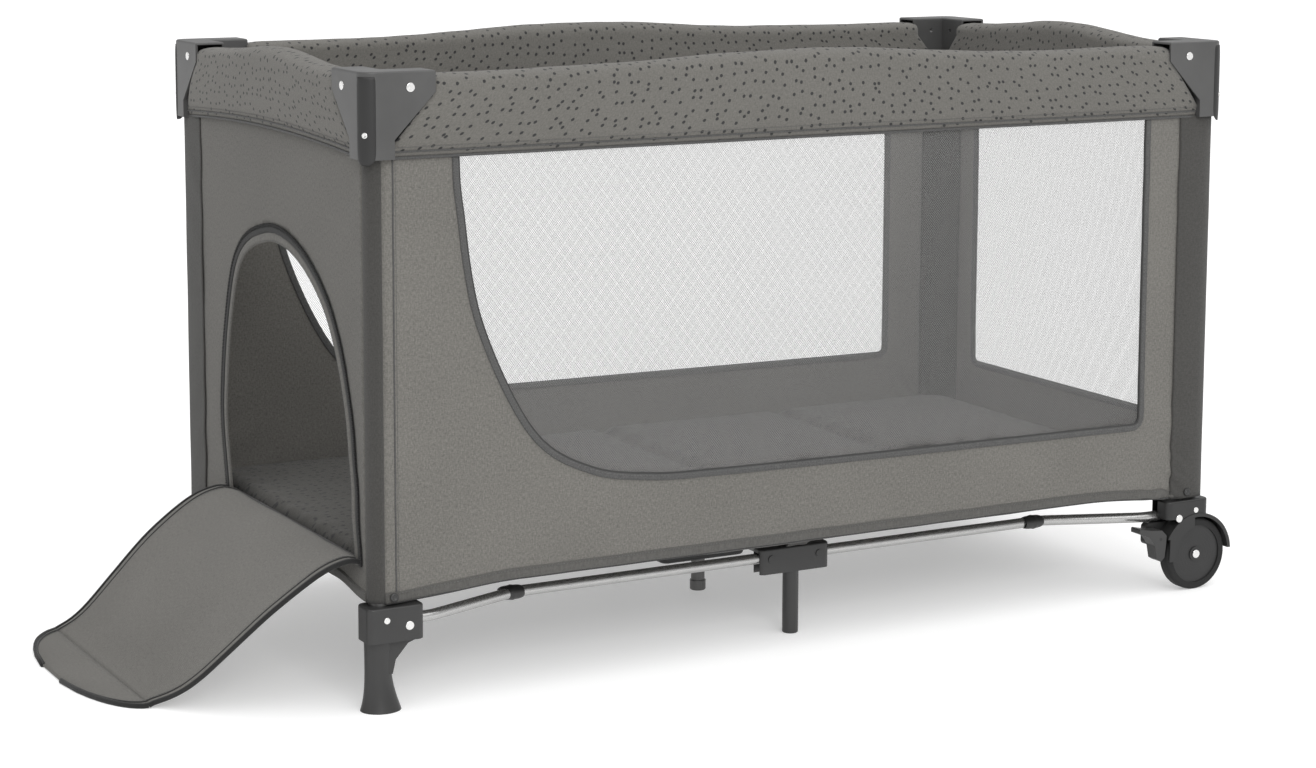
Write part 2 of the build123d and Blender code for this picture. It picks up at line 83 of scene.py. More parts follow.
# window of a long wall: the big sweep at its left end, then straight
WINDOW_SWEEP = [(-0.505, WALL_TOP + 0.004), (-0.500, 0.598), (-0.476, 0.460), (-0.408, 0.322),
                (-0.330, 0.268), (-0.240, 0.2505), (-0.150, 0.2470), (-0.040, 0.2455)]
WINDOW_RIGHT = 0.508
END_WINDOW = (-0.195, 0.228, 0.232)
# doorway of the left wall: Y and Z of its arch, from the front foot of the arch to the rear one
DOOR_ARCH = [(-0.286, 0.172), (-0.262, 0.345), (-0.205, 0.462), (-0.100, 0.530), (0.020, 0.541),
             (0.132, 0.482), (0.182, 0.300), (0.166, 0.172)]


# ---- materials ---------------------------------------------------------------------------
class Finish:
    """A Principled material being wired up."""

    def __init__(self, name, roughness=0.8, metallic=0.0, sheen=0.0, coat=0.0, specular=0.5):
        self.material = bpy.data.materials.new(name)
        self.material.use_nodes = True
        self.tree = self.material.node_tree
        self.shader = self.tree.nodes["Principled BSDF"]
        self.shader.inputs["Roughness"].default_value = roughness
        self.shader.inputs["Metallic"].default_value = metallic
        self.shader.inputs["Sheen Weight"].default_value = sheen
        self.shader.inputs["Sheen Roughness"].default_value = 0.6
        self.shader.inputs["Coat Weight"].default_value = coat
        self.shader.inputs["Specular IOR Level"].default_value = specular
        coordinates = self.tree.nodes.new("ShaderNodeTexCoord")
        self.place = coordinates.outputs["Object"]
        self.uv = coordinates.outputs["UV"]

    def node(self, kind, sockets=None, **settings):
        made = self.tree.nodes.new(kind)
        for key, value in settings.items():
            setattr(made, key, value)
        for key, value in (sockets or {}).items():
            if isinstance(value, bpy.types.NodeSocket):
                self.tree.links.new(value, made.inputs[key])
            else:
                made.inputs[key].default_value = value
        return made

    def link(self, value, socket):
        self.tree.links.new(value, self.shader.inputs[socket])

    def noise(self, vector, scale, detail=2.0, rough=0.5, stretch=None):
        if stretch:
            vector = self.node("ShaderNodeMapping", {"Vector": vector, "Scale": stretch}).outputs[0]
        made = self.node("ShaderNodeTexNoise", {"Vector": vector, "Scale": scale, "Detail": detail,
                                                "Roughness": rough})
        return made.outputs["Fac"]

    def math(self, operation, a, b=0.0):
        return self.node("ShaderNodeMath", {0: a, 1: b}, operation=operation).outputs[0]

    def spread(self, value, low, high, to_low=0.0, to_high=1.0):
        """Rescale a value from low..high to to_low..to_high, clamped."""
        made = self.node("ShaderNodeMapRange", {"Value": value, "From Min": low, "From Max": high,
                                                "To Min": to_low, "To Max": to_high})
        return made.outputs["Result"]

    def mix(self, factor, a, b):
        made = self.node("ShaderNodeMix", data_type="RGBA")
        for index, value in ((0, factor), (6, a), (7, b)):
            if isinstance(value, bpy.types.NodeSocket):
                self.tree.links.new(value, made.inputs[index])
            else:
                made.inputs[index].default_value = value
        return made.outputs[2]

    def bump(self, height, distance, strength=1.0):
        made = self.node("ShaderNodeBump", {"Height": height, "Distance": distance, "Strength": strength})
        self.link(made.outputs[0], "Normal")


def tone(grey, warmth=0.03):
    """A slightly warm grey, as a linear colour."""
    return (grey * (1 + warmth), grey, grey * (1 - 2.2 * warmth), 1.0)


def weave(finish, pitch):
    """Height of a plain weave with threads of the given pitch along U and V."""
    wave_scale = 0.314159 / pitch
    across = finish.node("ShaderNodeTexWave", {"Vector": finish.uv, "Scale": wave_scale},
                         bands_direction="X").outputs["Fac"]
    along = finish.node("ShaderNodeTexWave", {"Vector": finish.uv, "Scale": wave_scale},
                        bands_direction="Y").outputs["Fac"]
    return finish.math("MAXIMUM", across, along)


def cloth(name, grey, dots=0.0, contrast=0.16, pitch=0.0014, warmth=0.03):
    """Heathered woven fabric; dots above 0 prints small dark dots of that radius on it."""
    finish = Finish(name, roughness=0.93, sheen=0.12, specular=0.2)
    fibres = finish.noise(finish.uv, 620.0, 3.0, 0.65, (0.40, 1.0, 1.0))
    cross = finish.noise(finish.uv, 560.0, 2.0, 0.6, (1.0, 0.4, 1.0))
    cloud = finish.noise(finish.uv, 7.0, 3.0)
    blend = finish.math("MULTIPLY", finish.math("ADD", fibres, cross), 0.5)
    blend = finish.math("ADD", blend, finish.math("MULTIPLY", cloud, 0.12))
    blend = finish.spread(blend, 0.40, 0.72)
    dark = tone(grey * (1 - contrast * 1.6), warmth)
    pale = tone(grey * (1 + contrast * 1.4), warmth)
    colour = finish.mix(blend, dark, pale)
    if dots:
        cells = finish.node("ShaderNodeTexVoronoi", {"Vector": finish.uv, "Scale": 1 / DOT_PITCH,
                                                     "Randomness": 0.72}, voronoi_dimensions="2D")
        edge = finish.math("ADD", cells.outputs["Distance"], finish.math("MULTIPLY", fibres, 0.05))
        printed = finish.spread(edge, dots / DOT_PITCH + 0.055, dots / DOT_PITCH + 0.01)
        colour = finish.mix(printed, colour, tone(0.028, 0.0))
    finish.link(colour, "Base Color")
    threads = finish.math("ADD", weave(finish, pitch), finish.math("MULTIPLY", fibres, 1.2))
    finish.bump(threads, 0.00035, 0.7)
    finish.link(finish.spread(fibres, 0.3, 0.7, 0.86, 0.98), "Roughness")
    return finish.material


def tape(name, grey, rib=0.0012):
    """Ribbed woven tape or piping."""
    finish = Finish(name, roughness=0.85, sheen=0.1, specular=0.25)
    grain = finish.noise(finish.place, 700.0, 3.0)
    colour = finish.mix(finish.spread(grain, 0.3, 0.7), tone(grey * 0.75, 0.0), tone(grey * 1.35, 0.01))
    finish.link(colour, "Base Color")
    ribs = finish.node("ShaderNodeTexWave", {"Vector": finish.uv, "Scale": 0.314159 / rib},
                       bands_direction="X").outputs["Fac"]
    finish.bump(finish.math("ADD", ribs, grain), 0.0003, 0.7)
    return finish.material


def netting(name, grey, pitch, strand):
    """Knitted mesh: two families of slanting strands with nearly clear gaps between them."""
    finish = Finish(name, roughness=0.95, specular=0.15)
    parts = finish.node("ShaderNodeSeparateXYZ", {0: finish.uv})
    u, v = parts.outputs[0], parts.outputs[1]
    lines = []
    for operation in ("ADD", "SUBTRACT"):
        slanted = finish.math("DIVIDE", finish.math(operation, u, finish.math("MULTIPLY", v, 0.8)), pitch)
        lines.append(finish.math("LESS_THAN", finish.math("FRACT", slanted), strand))
    solid = finish.math("MAXIMUM", lines[0], lines[1])
    finish.link(finish.spread(solid, 0.0, 1.0, 0.12, 0.78), "Alpha")
    grain = finish.noise(finish.uv, 260.0, 2.0)
    finish.link(finish.mix(grain, tone(grey * 0.85, 0.0), tone(grey * 1.15, 0.01)), "Base Color")
    return finish.material


def plastic(name, grey, roughness=0.5, grain=0.00006, warmth=0.005):
    """Moulded plastic with a fine spark-eroded texture and slight shade variation."""
    finish = Finish(name, roughness=roughness, specular=0.45)
    fine = finish.noise(finish.place, 1500.0, 2.0)
    broad = finish.noise(finish.place, 16.0, 4.0)
    colour = finish.mix(finish.spread(broad, 0.3, 0.7), tone(grey * 0.88, warmth), tone(grey * 1.12, warmth))
    finish.link(colour, "Base Color")
    finish.link(finish.spread(broad, 0.3, 0.7, roughness - 0.06, roughness + 0.08), "Roughness")
    finish.bump(fine, grain, 0.8)
    return finish.material


def metal(name, grey, roughness=0.3, metallic=1.0, streak=(1.0, 30.0, 30.0)):
    """Drawn or pressed metal, streaked along X unless told otherwise."""
    finish = Finish(name, roughness=roughness, metallic=metallic)
    streaks = finish.noise(finish.place, 60.0, 3.0, 0.6, streak)
    specks = finish.noise(finish.place, 900.0, 2.0)
    finish.link(finish.mix(finish.spread(streaks, 0.3, 0.7), tone(grey * 0.86, 0.0), tone(grey * 1.12, 0.01)),
                "Base Color")
    finish.link(finish.spread(streaks, 0.25, 0.75, roughness - 0.07, roughness + 0.1), "Roughness")
    finish.bump(specks, 0.00003, 0.5)
    return finish.material


def wheel_finish(name, centre):
    """Black tyre round a dark grey disc, told apart by the distance from the axle."""
    finish = Finish(name, roughness=0.55, specular=0.4)
    parts = finish.node("ShaderNodeSeparateXYZ", {0: finish.place})
    dx = finish.math("SUBTRACT", parts.outputs[0], centre.x)
    dz = finish.math("SUBTRACT", parts.outputs[2], centre.z)
    squares = finish.math("ADD", finish.math("MULTIPLY", dx, dx), finish.math("MULTIPLY", dz, dz))
    radius = finish.math("SQRT", squares)
    tyre = finish.spread(radius, 0.0398, 0.0403)
    grain = finish.noise(finish.place, 1200.0, 2.0)
    broad = finish.noise(finish.place, 40.0, 3.0)
    disc = finish.mix(broad, tone(0.017, 0.0), tone(0.024, 0.0))
    rubber = finish.mix(broad, tone(0.006, 0.0), tone(0.011, 0.0))
    finish.link(finish.mix(tyre, disc, rubber), "Base Color")
    rings = finish.math("SINE", finish.math("MULTIPLY", radius, 1400.0))
    finish.link(finish.spread(tyre, 0.0, 1.0, 0.45, 0.72), "Roughness")
    finish.bump(finish.math("ADD", grain, finish.math("MULTIPLY", rings, 0.15)), 0.00012, 0.8)
    return finish.material


def ground_finish(name):
    """Pale studio floor, lit a little from below like a light table so that shadows stay soft."""
    finish = Finish(name, roughness=0.6, specular=0.2)
    finish.shader.inputs["Emission Color"].default_value = (1.0, 1.0, 1.0, 1.0)
    finish.shader.inputs["Emission Strength"].default_value = 0.36
    cloud = finish.noise(finish.place, 2.0, 3.0)
    finish.link(finish.mix(cloud, (0.70, 0.70, 0.70, 1), (0.73, 0.73, 0.73, 1)), "Base Color")
    return finish.material


WALL_CLOTH = cloth("wall cloth", 0.140, contrast=0.20, warmth=0.04)
# The left end wall has the same fabric as the other walls, painted darker as shade on that end.
LEFT_WALL_PAINTED_SHADE_CLOTH = cloth("left wall cloth in painted shade", 0.104, contrast=0.20, warmth=0.04)
DOTTED = cloth("dotted cloth", 0.128, dots=0.0021, contrast=0.14, warmth=0.04)
MAT_CLOTH = cloth("mattress cloth", 0.064, dots=0.0026, contrast=0.14, warmth=0.04)
SLEEVE_CLOTH = cloth("sleeve cloth", 0.050, contrast=0.16, pitch=0.0012)
HEM_CLOTH = cloth("hem cloth", 0.085, contrast=0.14)
FLAP_CLOTH = cloth("flap cloth", 0.124, contrast=0.20, warmth=0.04)
BINDING_TAPE = tape("window binding", 0.075)
DARK_TAPE = tape("dark piping", 0.035)
ZIP_TAPE = tape("zip tape", 0.012)
THREAD = tape("sewing thread", 0.10, 0.0006)
SEAM_PIPING = tape("seam piping", 0.065)
NET = netting("window net", 0.26, 0.0030, 0.165)
BRACKET_PLASTIC = plastic("bracket plastic", 0.066, 0.42)
FOOT_PLASTIC = plastic("foot plastic", 0.029, 0.40)
BAND_PLASTIC = plastic("corner band plastic", 0.015, 0.48)
HUB_PLASTIC = plastic("hub plastic", 0.032, 0.38)
CASTOR_PLASTIC = plastic("castor plastic", 0.016, 0.38)
BUTTON_PLASTIC = plastic("button plastic", 0.16, 0.38)
GRAPHITE = metal("graphite tube", 0.46, 0.27, 0.9)
LEG_TUBE = metal("leg tube", 0.17, 0.34, 0.7, (30.0, 30.0, 1.0))
RAIL_STEEL = metal("rail tube steel", 0.45, 0.35)
RIVET_STEEL = metal("rivet steel", 0.72, 0.22, 1.0, (8.0, 8.0, 8.0))
WHEEL_RUBBER = wheel_finish("wheel and tyre", WHEEL)

CAD_FINISH = {"bracket": BRACKET_PLASTIC, "foot": FOOT_PLASTIC, "castor_housing": CASTOR_PLASTIC,
              "wheel": WHEEL_RUBBER, "brake_lever": HUB_PLASTIC, "base_arm": GRAPHITE,
              "side_hub": HUB_PLASTIC, "cross_link": LEG_TUBE, "centre_hub": HUB_PLASTIC,
              "centre_leg": LEG_TUBE, "hub_axle": RIVET_STEEL, "long_rail": RAIL_STEEL,
              "short_rail": RAIL_STEEL, "latch": HUB_PLASTIC, "latch_button": BUTTON_PLASTIC,
              "rivets": RIVET_STEEL, "post": LEG_TUBE}
for node_name, node in nodes.items():
    for ending, material in CAD_FINISH.items():
        if node_name.endswith(ending):
            node.data.materials.clear()
            node.data.materials.append(material)


# ---- small tools -------------------------------------------------------------------------
def make(name, vertices, faces, material, uvs=None):
    """A smooth mesh object; uvs gives one pair in metres for each vertex."""
    mesh = bpy.data.meshes.new(name)
    mesh.from_pydata([tuple(v) for v in vertices], [], faces)
    mesh.materials.append(material)
    layer = mesh.uv_layers.new(name="metres")
    if uvs is not None:
        flat = np.array(uvs, np.float32)[[loop.vertex_index for loop in mesh.loops]]
        layer.data.foreach_set("uv", flat.ravel())
    mesh.shade_smooth()
    piece = bpy.data.objects.new(name, mesh)
    bpy.context.scene.collection.objects.link(piece)
    return piece


def thicken(piece, thickness, offset=0.0):
    modifier = piece.modifiers.new("thickness", "SOLIDIFY")
    modifier.thickness = thickness
    modifier.offset = offset
    return piece


def eased(value):
    """0 below 0, 1 above 1 and a smooth step between."""
    value = min(1.0, max(0.0, value))
    return value * value * (3 - 2 * value)


def bell(value):
    return math.exp(-value * value)


def wobble(x, y, seed, scale):
    """Smooth noise of about -1 to 1 with features of 1 / scale metres."""
    return noise.noise(Vector((x * scale, y * scale, seed * 3.7)))


def spline(points, count):
    """A Catmull-Rom curve through points, with count steps in each span."""
    knots = [Vector(p) for p in points]
    knots = [2 * knots[0] - knots[1], *knots, 2 * knots[-1] - knots[-2]]
    found = []
    for a, b, c, d in zip(knots, knots[1:], knots[2:], knots[3:]):
        for step in range(count):
            t = step / count
            found.append(0.5 * ((2 * b) + (c - a) * t + (2 * a - 5 * b + 4 * c - d) * t ** 2
                                + (3 * b - a - 3 * c + d) * t ** 3))
    return found + [knots[-2]]


def resample(points, step, closed=False):
    """The same line with even steps of about step."""
    line = [Vector(p) for p in points]
    if closed:
        line.append(line[0])
    lengths = [(b - a).length for a, b in zip(line, line[1:])]
    total = sum(lengths)
    count = max(2, round(total / step))
    found, index, passed = [], 0, 0.0
    for i in range(count + (0 if closed else 1)):
        target = total * i / count
        while index < len(lengths) - 1 and passed + lengths[index] < target:
            passed += lengths[index]
            index += 1
        share = (target - passed) / max(lengths[index], 1e-9)
        found.append(line[index].lerp(line[index + 1], min(1.0, share)))
    return found


def dense(corners, step):
    """A closed polygon with its corners kept and its sides divided into steps."""
    found = []
    for a, b in zip(corners, [*corners[1:], corners[0]]):
        a, b = Vector(a), Vector(b)
        count = max(1, round((b - a).length / step))
        found += [a.lerp(b, i / count) for i in range(count)]
    return found


def inside(points, polygon):
    """Which of the points (n, 2) lie in the polygon."""
    x, y = points[:, 0], points[:, 1]
    result = np.zeros(len(points), bool)
    for (x0, y0), (x1, y1) in zip(polygon, np.roll(polygon, -1, axis=0)):
        crosses = (y0 > y) != (y1 > y)
        slope = (x1 - x0) * (y - y0) / (y1 - y0 + 1e-12) + x0
        result ^= crosses & (x < slope)
    return result


def clearance(points, loop):
    """Least distance of each point (n, 2) from the corners of a loop."""
    return np.min(np.linalg.norm(points[:, None, :] - loop[None, :, :], axis=2), axis=1)


def area_of(loop):
    """Area inside a closed flat line."""
    flat = np.array([tuple(p) for p in loop])
    x, y = flat[:, 0], flat[:, 1]
    return abs(float(np.dot(x, np.roll(y, -1)) - np.dot(y, np.roll(x, -1)))) / 2


def patch(name, outline, holes, place, material, step=STEP, uv_shift=(0.0, 0.0)):
    """A sheet over a flat outline with open holes; place turns its flat (s, t) into a point."""
    loops = [np.array([tuple(p) for p in dense(loop, step)]) for loop in (outline, *holes)]
    low, high = loops[0].min(0), loops[0].max(0)
    s = np.arange(low[0] + step / 2, high[0], step)
    t = np.arange(low[1] + step / 2, high[1], step)
    grid = np.stack(np.meshgrid(s, t), -1).reshape(-1, 2)
    grid[:, 0] += (np.round(grid[:, 1] / step) % 2) * step * 0.5
    keep = inside(grid, loops[0])
    for loop in loops:
        keep &= clearance(grid, loop) > step * 0.62
    for loop in loops[1:]:
        keep &= ~inside(grid, loop)
    points, edges = [], []
    for loop in loops:
        first = len(points)
        points += [Vector(p) for p in loop]
        edges += [(first + i, first + (i + 1) % len(loop)) for i in range(len(loop))]
    points += [Vector(p) for p in grid[keep]]
    flat, _, faces = delaunay_2d_cdt(points, edges, [], 0, 1e-7)[:3]
    middles = np.array([tuple(sum((flat[i] for i in shade_strip), Vector((0, 0))) / len(shade_strip)) for shade_strip in faces])
    good = inside(middles, loops[0])
    for loop in loops[1:]:
        good &= ~inside(middles, loop)
    faces = [shade_strip for shade_strip, ok in zip(faces, good) if ok]
    used = sorted({i for shade_strip in faces for i in shade_strip})
    order = {old: new for new, old in enumerate(used)}
    corners = [flat[i] for i in used]
    renumbered = [[order[i] for i in shade_strip] for shade_strip in faces]
    return make(name, [place(p.x, p.y) for p in corners], renumbered, material,
                [(p.x + uv_shift[0], p.y + uv_shift[1]) for p in corners])


def surface(name, columns, rows, point, material, uv, loop=False):
    """A grid surface: point and uv take (u, v) from 0 to 1; loop joins the last column to the first."""
    across = columns if loop else columns + 1
    vertices, uvs, faces = [], [], []
    for j in range(rows + 1):
        for i in range(across):
            u, v = i / columns, j / rows
            vertices.append(point(u, v))
            uvs.append(uv(u, v))
    for j in range(rows):
        for i in range(columns):
            a, b = j * across + i, j * across + (i + 1) % across
            faces.append((a, b, b + across, a + across))
    return make(name, vertices, faces, material, uvs)


def axes(start, end, outward):
    """Unit vectors along, across and out of a surface at start; outward may be a function of a point."""
    tangent = (end - start).normalized()
    normal = outward(start) if callable(outward) else outward
    side = normal.cross(tangent).normalized()
    return tangent, side, tangent.cross(side)


def ribbon(name, path, outward, width, height, material, closed=False, sides=10):
    """A soft strip swept along path; outward is the normal of what it lies on, or a function of a point."""
    path = [Vector(p) for p in path]
    count = len(path)
    vertices, uvs, faces, run = [], [], [], 0.0
    for i, p in enumerate(path):
        before = path[(i - 1) % count] if closed else path[max(i - 1, 0)]
        after = path[(i + 1) % count] if closed else path[min(i + 1, count - 1)]
        tangent = (after - before).normalized()
        normal = outward(p) if callable(outward) else outward
        side = normal.cross(tangent).normalized()
        lift = tangent.cross(side).normalized()
        if i:
            run += (p - path[i - 1]).length
        for k in range(sides):
            angle = math.tau * k / sides
            c, s = math.cos(angle), math.sin(angle)
            reach = math.copysign(abs(c) ** 0.6, c) * width / 2
            rise = math.copysign(abs(s) ** 0.8, s) * height / 2
            vertices.append(p + side * reach + lift * rise)
            uvs.append((run, k / sides * 2 * width))
    for i in range(count if closed else count - 1):
        a, b = i * sides, (i + 1) % count * sides
        for k in range(sides):
            n = (k + 1) % sides
            faces.append((a + k, b + k, b + n, a + n))
    if not closed:
        faces.append(tuple(range(sides)))
        faces.append(tuple(reversed(range((count - 1) * sides, count * sides))))
    return make(name, vertices, faces, material, uvs)


def stitches(name, path, outward, material=THREAD, pitch=0.0042, length=0.0028, radius=0.00035, closed=False):
    """A row of short raised threads along path."""
    vertices, faces, uvs = [], [], []
    steps = resample(path, pitch, closed)
    ring = 5
    for a, b in zip(steps, steps[1:]):
        tangent, side, lift = axes(a, b, outward)
        start = len(vertices)
        for along, swell in ((0.0, 0.5), (0.25, 1.0), (0.75, 1.0), (1.0, 0.5)):
            for k in range(ring):
                angle = math.tau * k / ring
                offset = side * math.cos(angle) + lift * math.sin(angle)
                vertices.append(a + tangent * (along * length) + offset * (radius * swell))
                uvs.append((along * length, k * radius))
        for j in range(3):
            for k in range(ring):
                n = (k + 1) % ring
                p, q = start + j * ring, start + (j + 1) * ring
                faces.append((p + k, q + k, q + n, p + n))
        faces.append(tuple(start + k for k in reversed(range(ring))))
        faces.append(tuple(start + 3 * ring + k for k in range(ring)))
    return make(name, vertices, faces, material, uvs)


def teeth(name, path, outward, pitch=0.0026, size=(0.0015, 0.0042, 0.0013)):
    """Zip teeth: a row of small rounded bars across the path, set alternately left and right."""
    vertices, faces, uvs = [], [], []
    steps = resample(path, pitch)
    for index, (a, b) in enumerate(zip(steps, steps[1:])):
        tangent, side, lift = axes(a, b, outward)
        shift = side * (0.0006 if index % 2 else -0.0006)
        start = len(vertices)
        for level, inset in ((-1, 1.0), (0.5, 1.0), (1.0, 0.6)):
            for x, y in ((-1, -1), (1, -1), (1, 1), (-1, 1)):
                vertices.append(a + shift + tangent * (x * size[0] / 2 * inset)
                                + side * (y * size[1] / 2 * inset) + lift * (level * size[2] / 2))
                uvs.append((x * size[0], y * size[1]))
        for j in range(2):
            for k in range(4):
                n = (k + 1) % 4
                p, q = start + j * 4, start + (j + 1) * 4
                faces.append((p + k, p + n, q + n, q + k))
        faces.append(tuple(start + k for k in (3, 2, 1, 0)))
        faces.append(tuple(start + 8 + k for k in range(4)))
    return make(name, vertices, faces, ZIP_TAPE, uvs)


def ball(name, centre, radius, flat, axis, material):
    """A low domed button: a disc with rounded rim and a dimple, facing axis."""
    axis = Vector(axis).normalized()
    turn = axis.to_track_quat("Z", "Y")
    profile = [(0.0, 0.55), (0.35, 0.6), (0.5, 0.85), (0.75, 1.0), (0.95, 0.7), (1.0, 0.2), (0.95, -0.3),
               (0.0, -0.3)]
    sides = 20

    def point(u, v):
        place = min(v * (len(profile) - 1), len(profile) - 1.0001)
        i = int(place)
        (r0, h0), (r1, h1) = profile[i], profile[i + 1]
        r, h = r0 + (r1 - r0) * (place - i), h0 + (h1 - h0) * (place - i)
        return Vector(centre) + turn @ Vector((r * radius * math.cos(math.tau * u),
                                               r * radius * math.sin(math.tau * u), h * flat))
    return surface(name, sides, 14, point, material, lambda u, v: (u * 0.02, v * 0.01), loop=True)


# ---- how each part of the fabric follows the frame ----------------------------------------
CARRIER = {"front": "front_left_corner", "rear": "rear_left_corner", "left": "front_left_corner",
           "right": "front_right_corner"}


def hang(piece, side):
    """Fix a wall piece to the corner that carries it and give it a mesh of its own."""
    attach(piece, CARRIER[side])
    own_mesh(piece)
    return piece


# ---- walls -------------------------------------------------------------------------------
def hem_height(s, reach):
    """Height of the lower hem along a wall whose posts stand at s = -reach and reach."""
    return WALL_BOTTOM + 0.0075 - 0.010 * eased((abs(s) - reach * 0.70) / (reach * 0.30))


def long_relief(x, z):
    """How far a long wall stands out of its plane: slack, creases at the corners, small ripples."""
    relief = 0.0016 * wobble(x, z * 0.7, 1, 3.2) + 0.0007 * wobble(x, z, 2, 11.0)
    edge = 1 - eased((POST_X - abs(x)) / 0.16)
    crease = math.sin((z + 0.55 * abs(x)) * 95 + 2 * wobble(x, z, 3, 6))
    relief += 0.0016 * edge * crease * bell((z - 0.19) / 0.10)
    relief += 0.0009 * edge * math.sin((z - 0.4 * abs(x)) * 70) * bell((z - 0.60) / 0.12)
    gather = bell((x - POST_X + 0.02) / 0.06) * bell((z - WALL_BOTTOM - 0.02) / 0.05)
    relief += 0.0022 * gather * math.sin((x + z * 1.3) * 210 + 2 * wobble(x, z, 6, 12))
    low = bell((z - WALL_BOTTOM - 0.03) / 0.035)
    relief += 0.0010 * low * math.sin(x * 62 + 3 * wobble(x, 0, 4, 4)) * (0.4 + abs(wobble(x, 0, 5, 2.5)))
    return relief * eased((POST_X - abs(x)) / 0.04)


def end_relief(y, z):
    relief = 0.0015 * wobble(y, z * 0.7, 8, 4.0) + 0.0006 * wobble(y, z, 9, 13.0)
    edge = 1 - eased((POST_Y - abs(y)) / 0.11)
    relief += 0.0010 * edge * math.sin((z + 0.6 * abs(y)) * 85) * bell((z - 0.20) / 0.14)
    relief += 0.0010 * edge * math.sin((z - 0.5 * abs(y)) * 75) * bell((z - 0.58) / 0.12)
    return relief * eased((POST_Y - abs(y)) / 0.04)


def long_place(side):
    sign = -1 if side == "front" else 1

    def place(x, z, lift=0.0):
        return Vector((x, sign * (WALL_Y - CLOTH / 2 - 0.0004 + long_relief(x, z) + lift), z))
    return place


def end_place(side):
    sign = -1 if side == "left" else 1

    def place(y, z, lift=0.0):
        return Vector((sign * (WALL_X - CLOTH / 2 - 0.0004 + end_relief(y * sign, z) + lift), y, z))
    return place


def panel_outline(reach, arch=0.0):
    """Outer edge of a wall between its posts: a curved hem below and, above, the line under the cover."""
    below = [(s, hem_height(s, reach)) for s in np.linspace(-reach, reach, 41)]
    above = [(s, WALL_TOP + 0.010 + arch * (1 - (s / reach) ** 2)) for s in np.linspace(reach, -reach, 25)]
    return below + above


def window_corners():
    sweep_part = [tuple(p) for p in spline(WINDOW_SWEEP, 14)]
    return sweep_part + [(WINDOW_RIGHT, 0.2410), (WINDOW_RIGHT, WINDOW_SWEEP[0][1])]


def grown(line, amount, closed=False):
    """A flat line moved sideways, to its left for a positive amount."""
    count = len(line)
    found = []
    for i, p in enumerate(line):
        before = line[(i - 1) % count] if closed else line[max(i - 1, 0)]
        after = line[(i + 1) % count] if closed else line[min(i + 1, count - 1)]
        direction = (Vector(after) - Vector(before)).normalized()
        found.append(Vector(p) + Vector((-direction.y, direction.x)) * amount)
    return found


def rounded(corners, radius, closed=True):
    """A polygon with its sharp corners rounded, for a binding to run round."""
    points = [Vector(c) for c in corners]
    found = []
    for i, p in enumerate(points):
        if not closed and i in (0, len(points) - 1):
            found.append(p)
            continue
        a, b = points[i - 1], points[(i + 1) % len(points)]
        turn = (p - a).angle(b - p, 0.0)
        if turn < 0.5:
            found.append(p)
            continue
        start, end = p + (a - p).normalized() * radius, p + (b - p).normalized() * radius
        found += [start.lerp(p, t).lerp(p.lerp(end, t), t) for t in (0, 0.2, 0.4, 0.6, 0.8, 1)]
    return found


def laid(place, line, lift):
    """A flat line laid on a wall, lift above its cloth."""
    return [place(p[0], p[1], lift) for p in line]


def sew_hem(side, reach, count, place, normal):
    """Bound hem with a stitch row; returns its flat line."""
    hem = [(s, hem_height(s, reach) + 0.006) for s in np.linspace(-reach, reach, count)]
    hang(ribbon(f"{side}_hem", laid(place, hem, 0.0008), normal, 0.0135, 0.0036, HEM_CLOTH), side)
    row = [(s, z + 0.0045) for s, z in hem]
    hang(stitches(f"{side}_hem_stitches", laid(place, row, 0.0027), normal), side)
    return hem


def sewn_edge(prefix, side, line, place, normal, closed=False):
    """Binding, dark piping and two stitch rows along a window; line runs with the net on its left."""
    flat = resample(line, 0.006, closed)
    out = grown(flat, -BINDING / 2, closed)
    hang(ribbon(f"{prefix}_binding", laid(place, out, 0.0014), normal, BINDING, 0.0024,
                BINDING_TAPE, closed), side)
    hang(ribbon(f"{prefix}_binding_inside", laid(place, out, -0.0014), normal, BINDING, 0.0020,
                BINDING_TAPE, closed), side)
    hang(ribbon(f"{prefix}_net_edge", laid(place, flat, 0.0006), normal, 0.0030, 0.0034,
                DARK_TAPE, closed), side)
    for row, offset in (("outer", BINDING - 0.0012), ("inner", 0.0026)):
        seam = grown(flat, -offset, closed)
        hang(stitches(f"{prefix}_stitches_{row}", laid(place, seam, 0.0026), normal,
                      closed=closed), side)


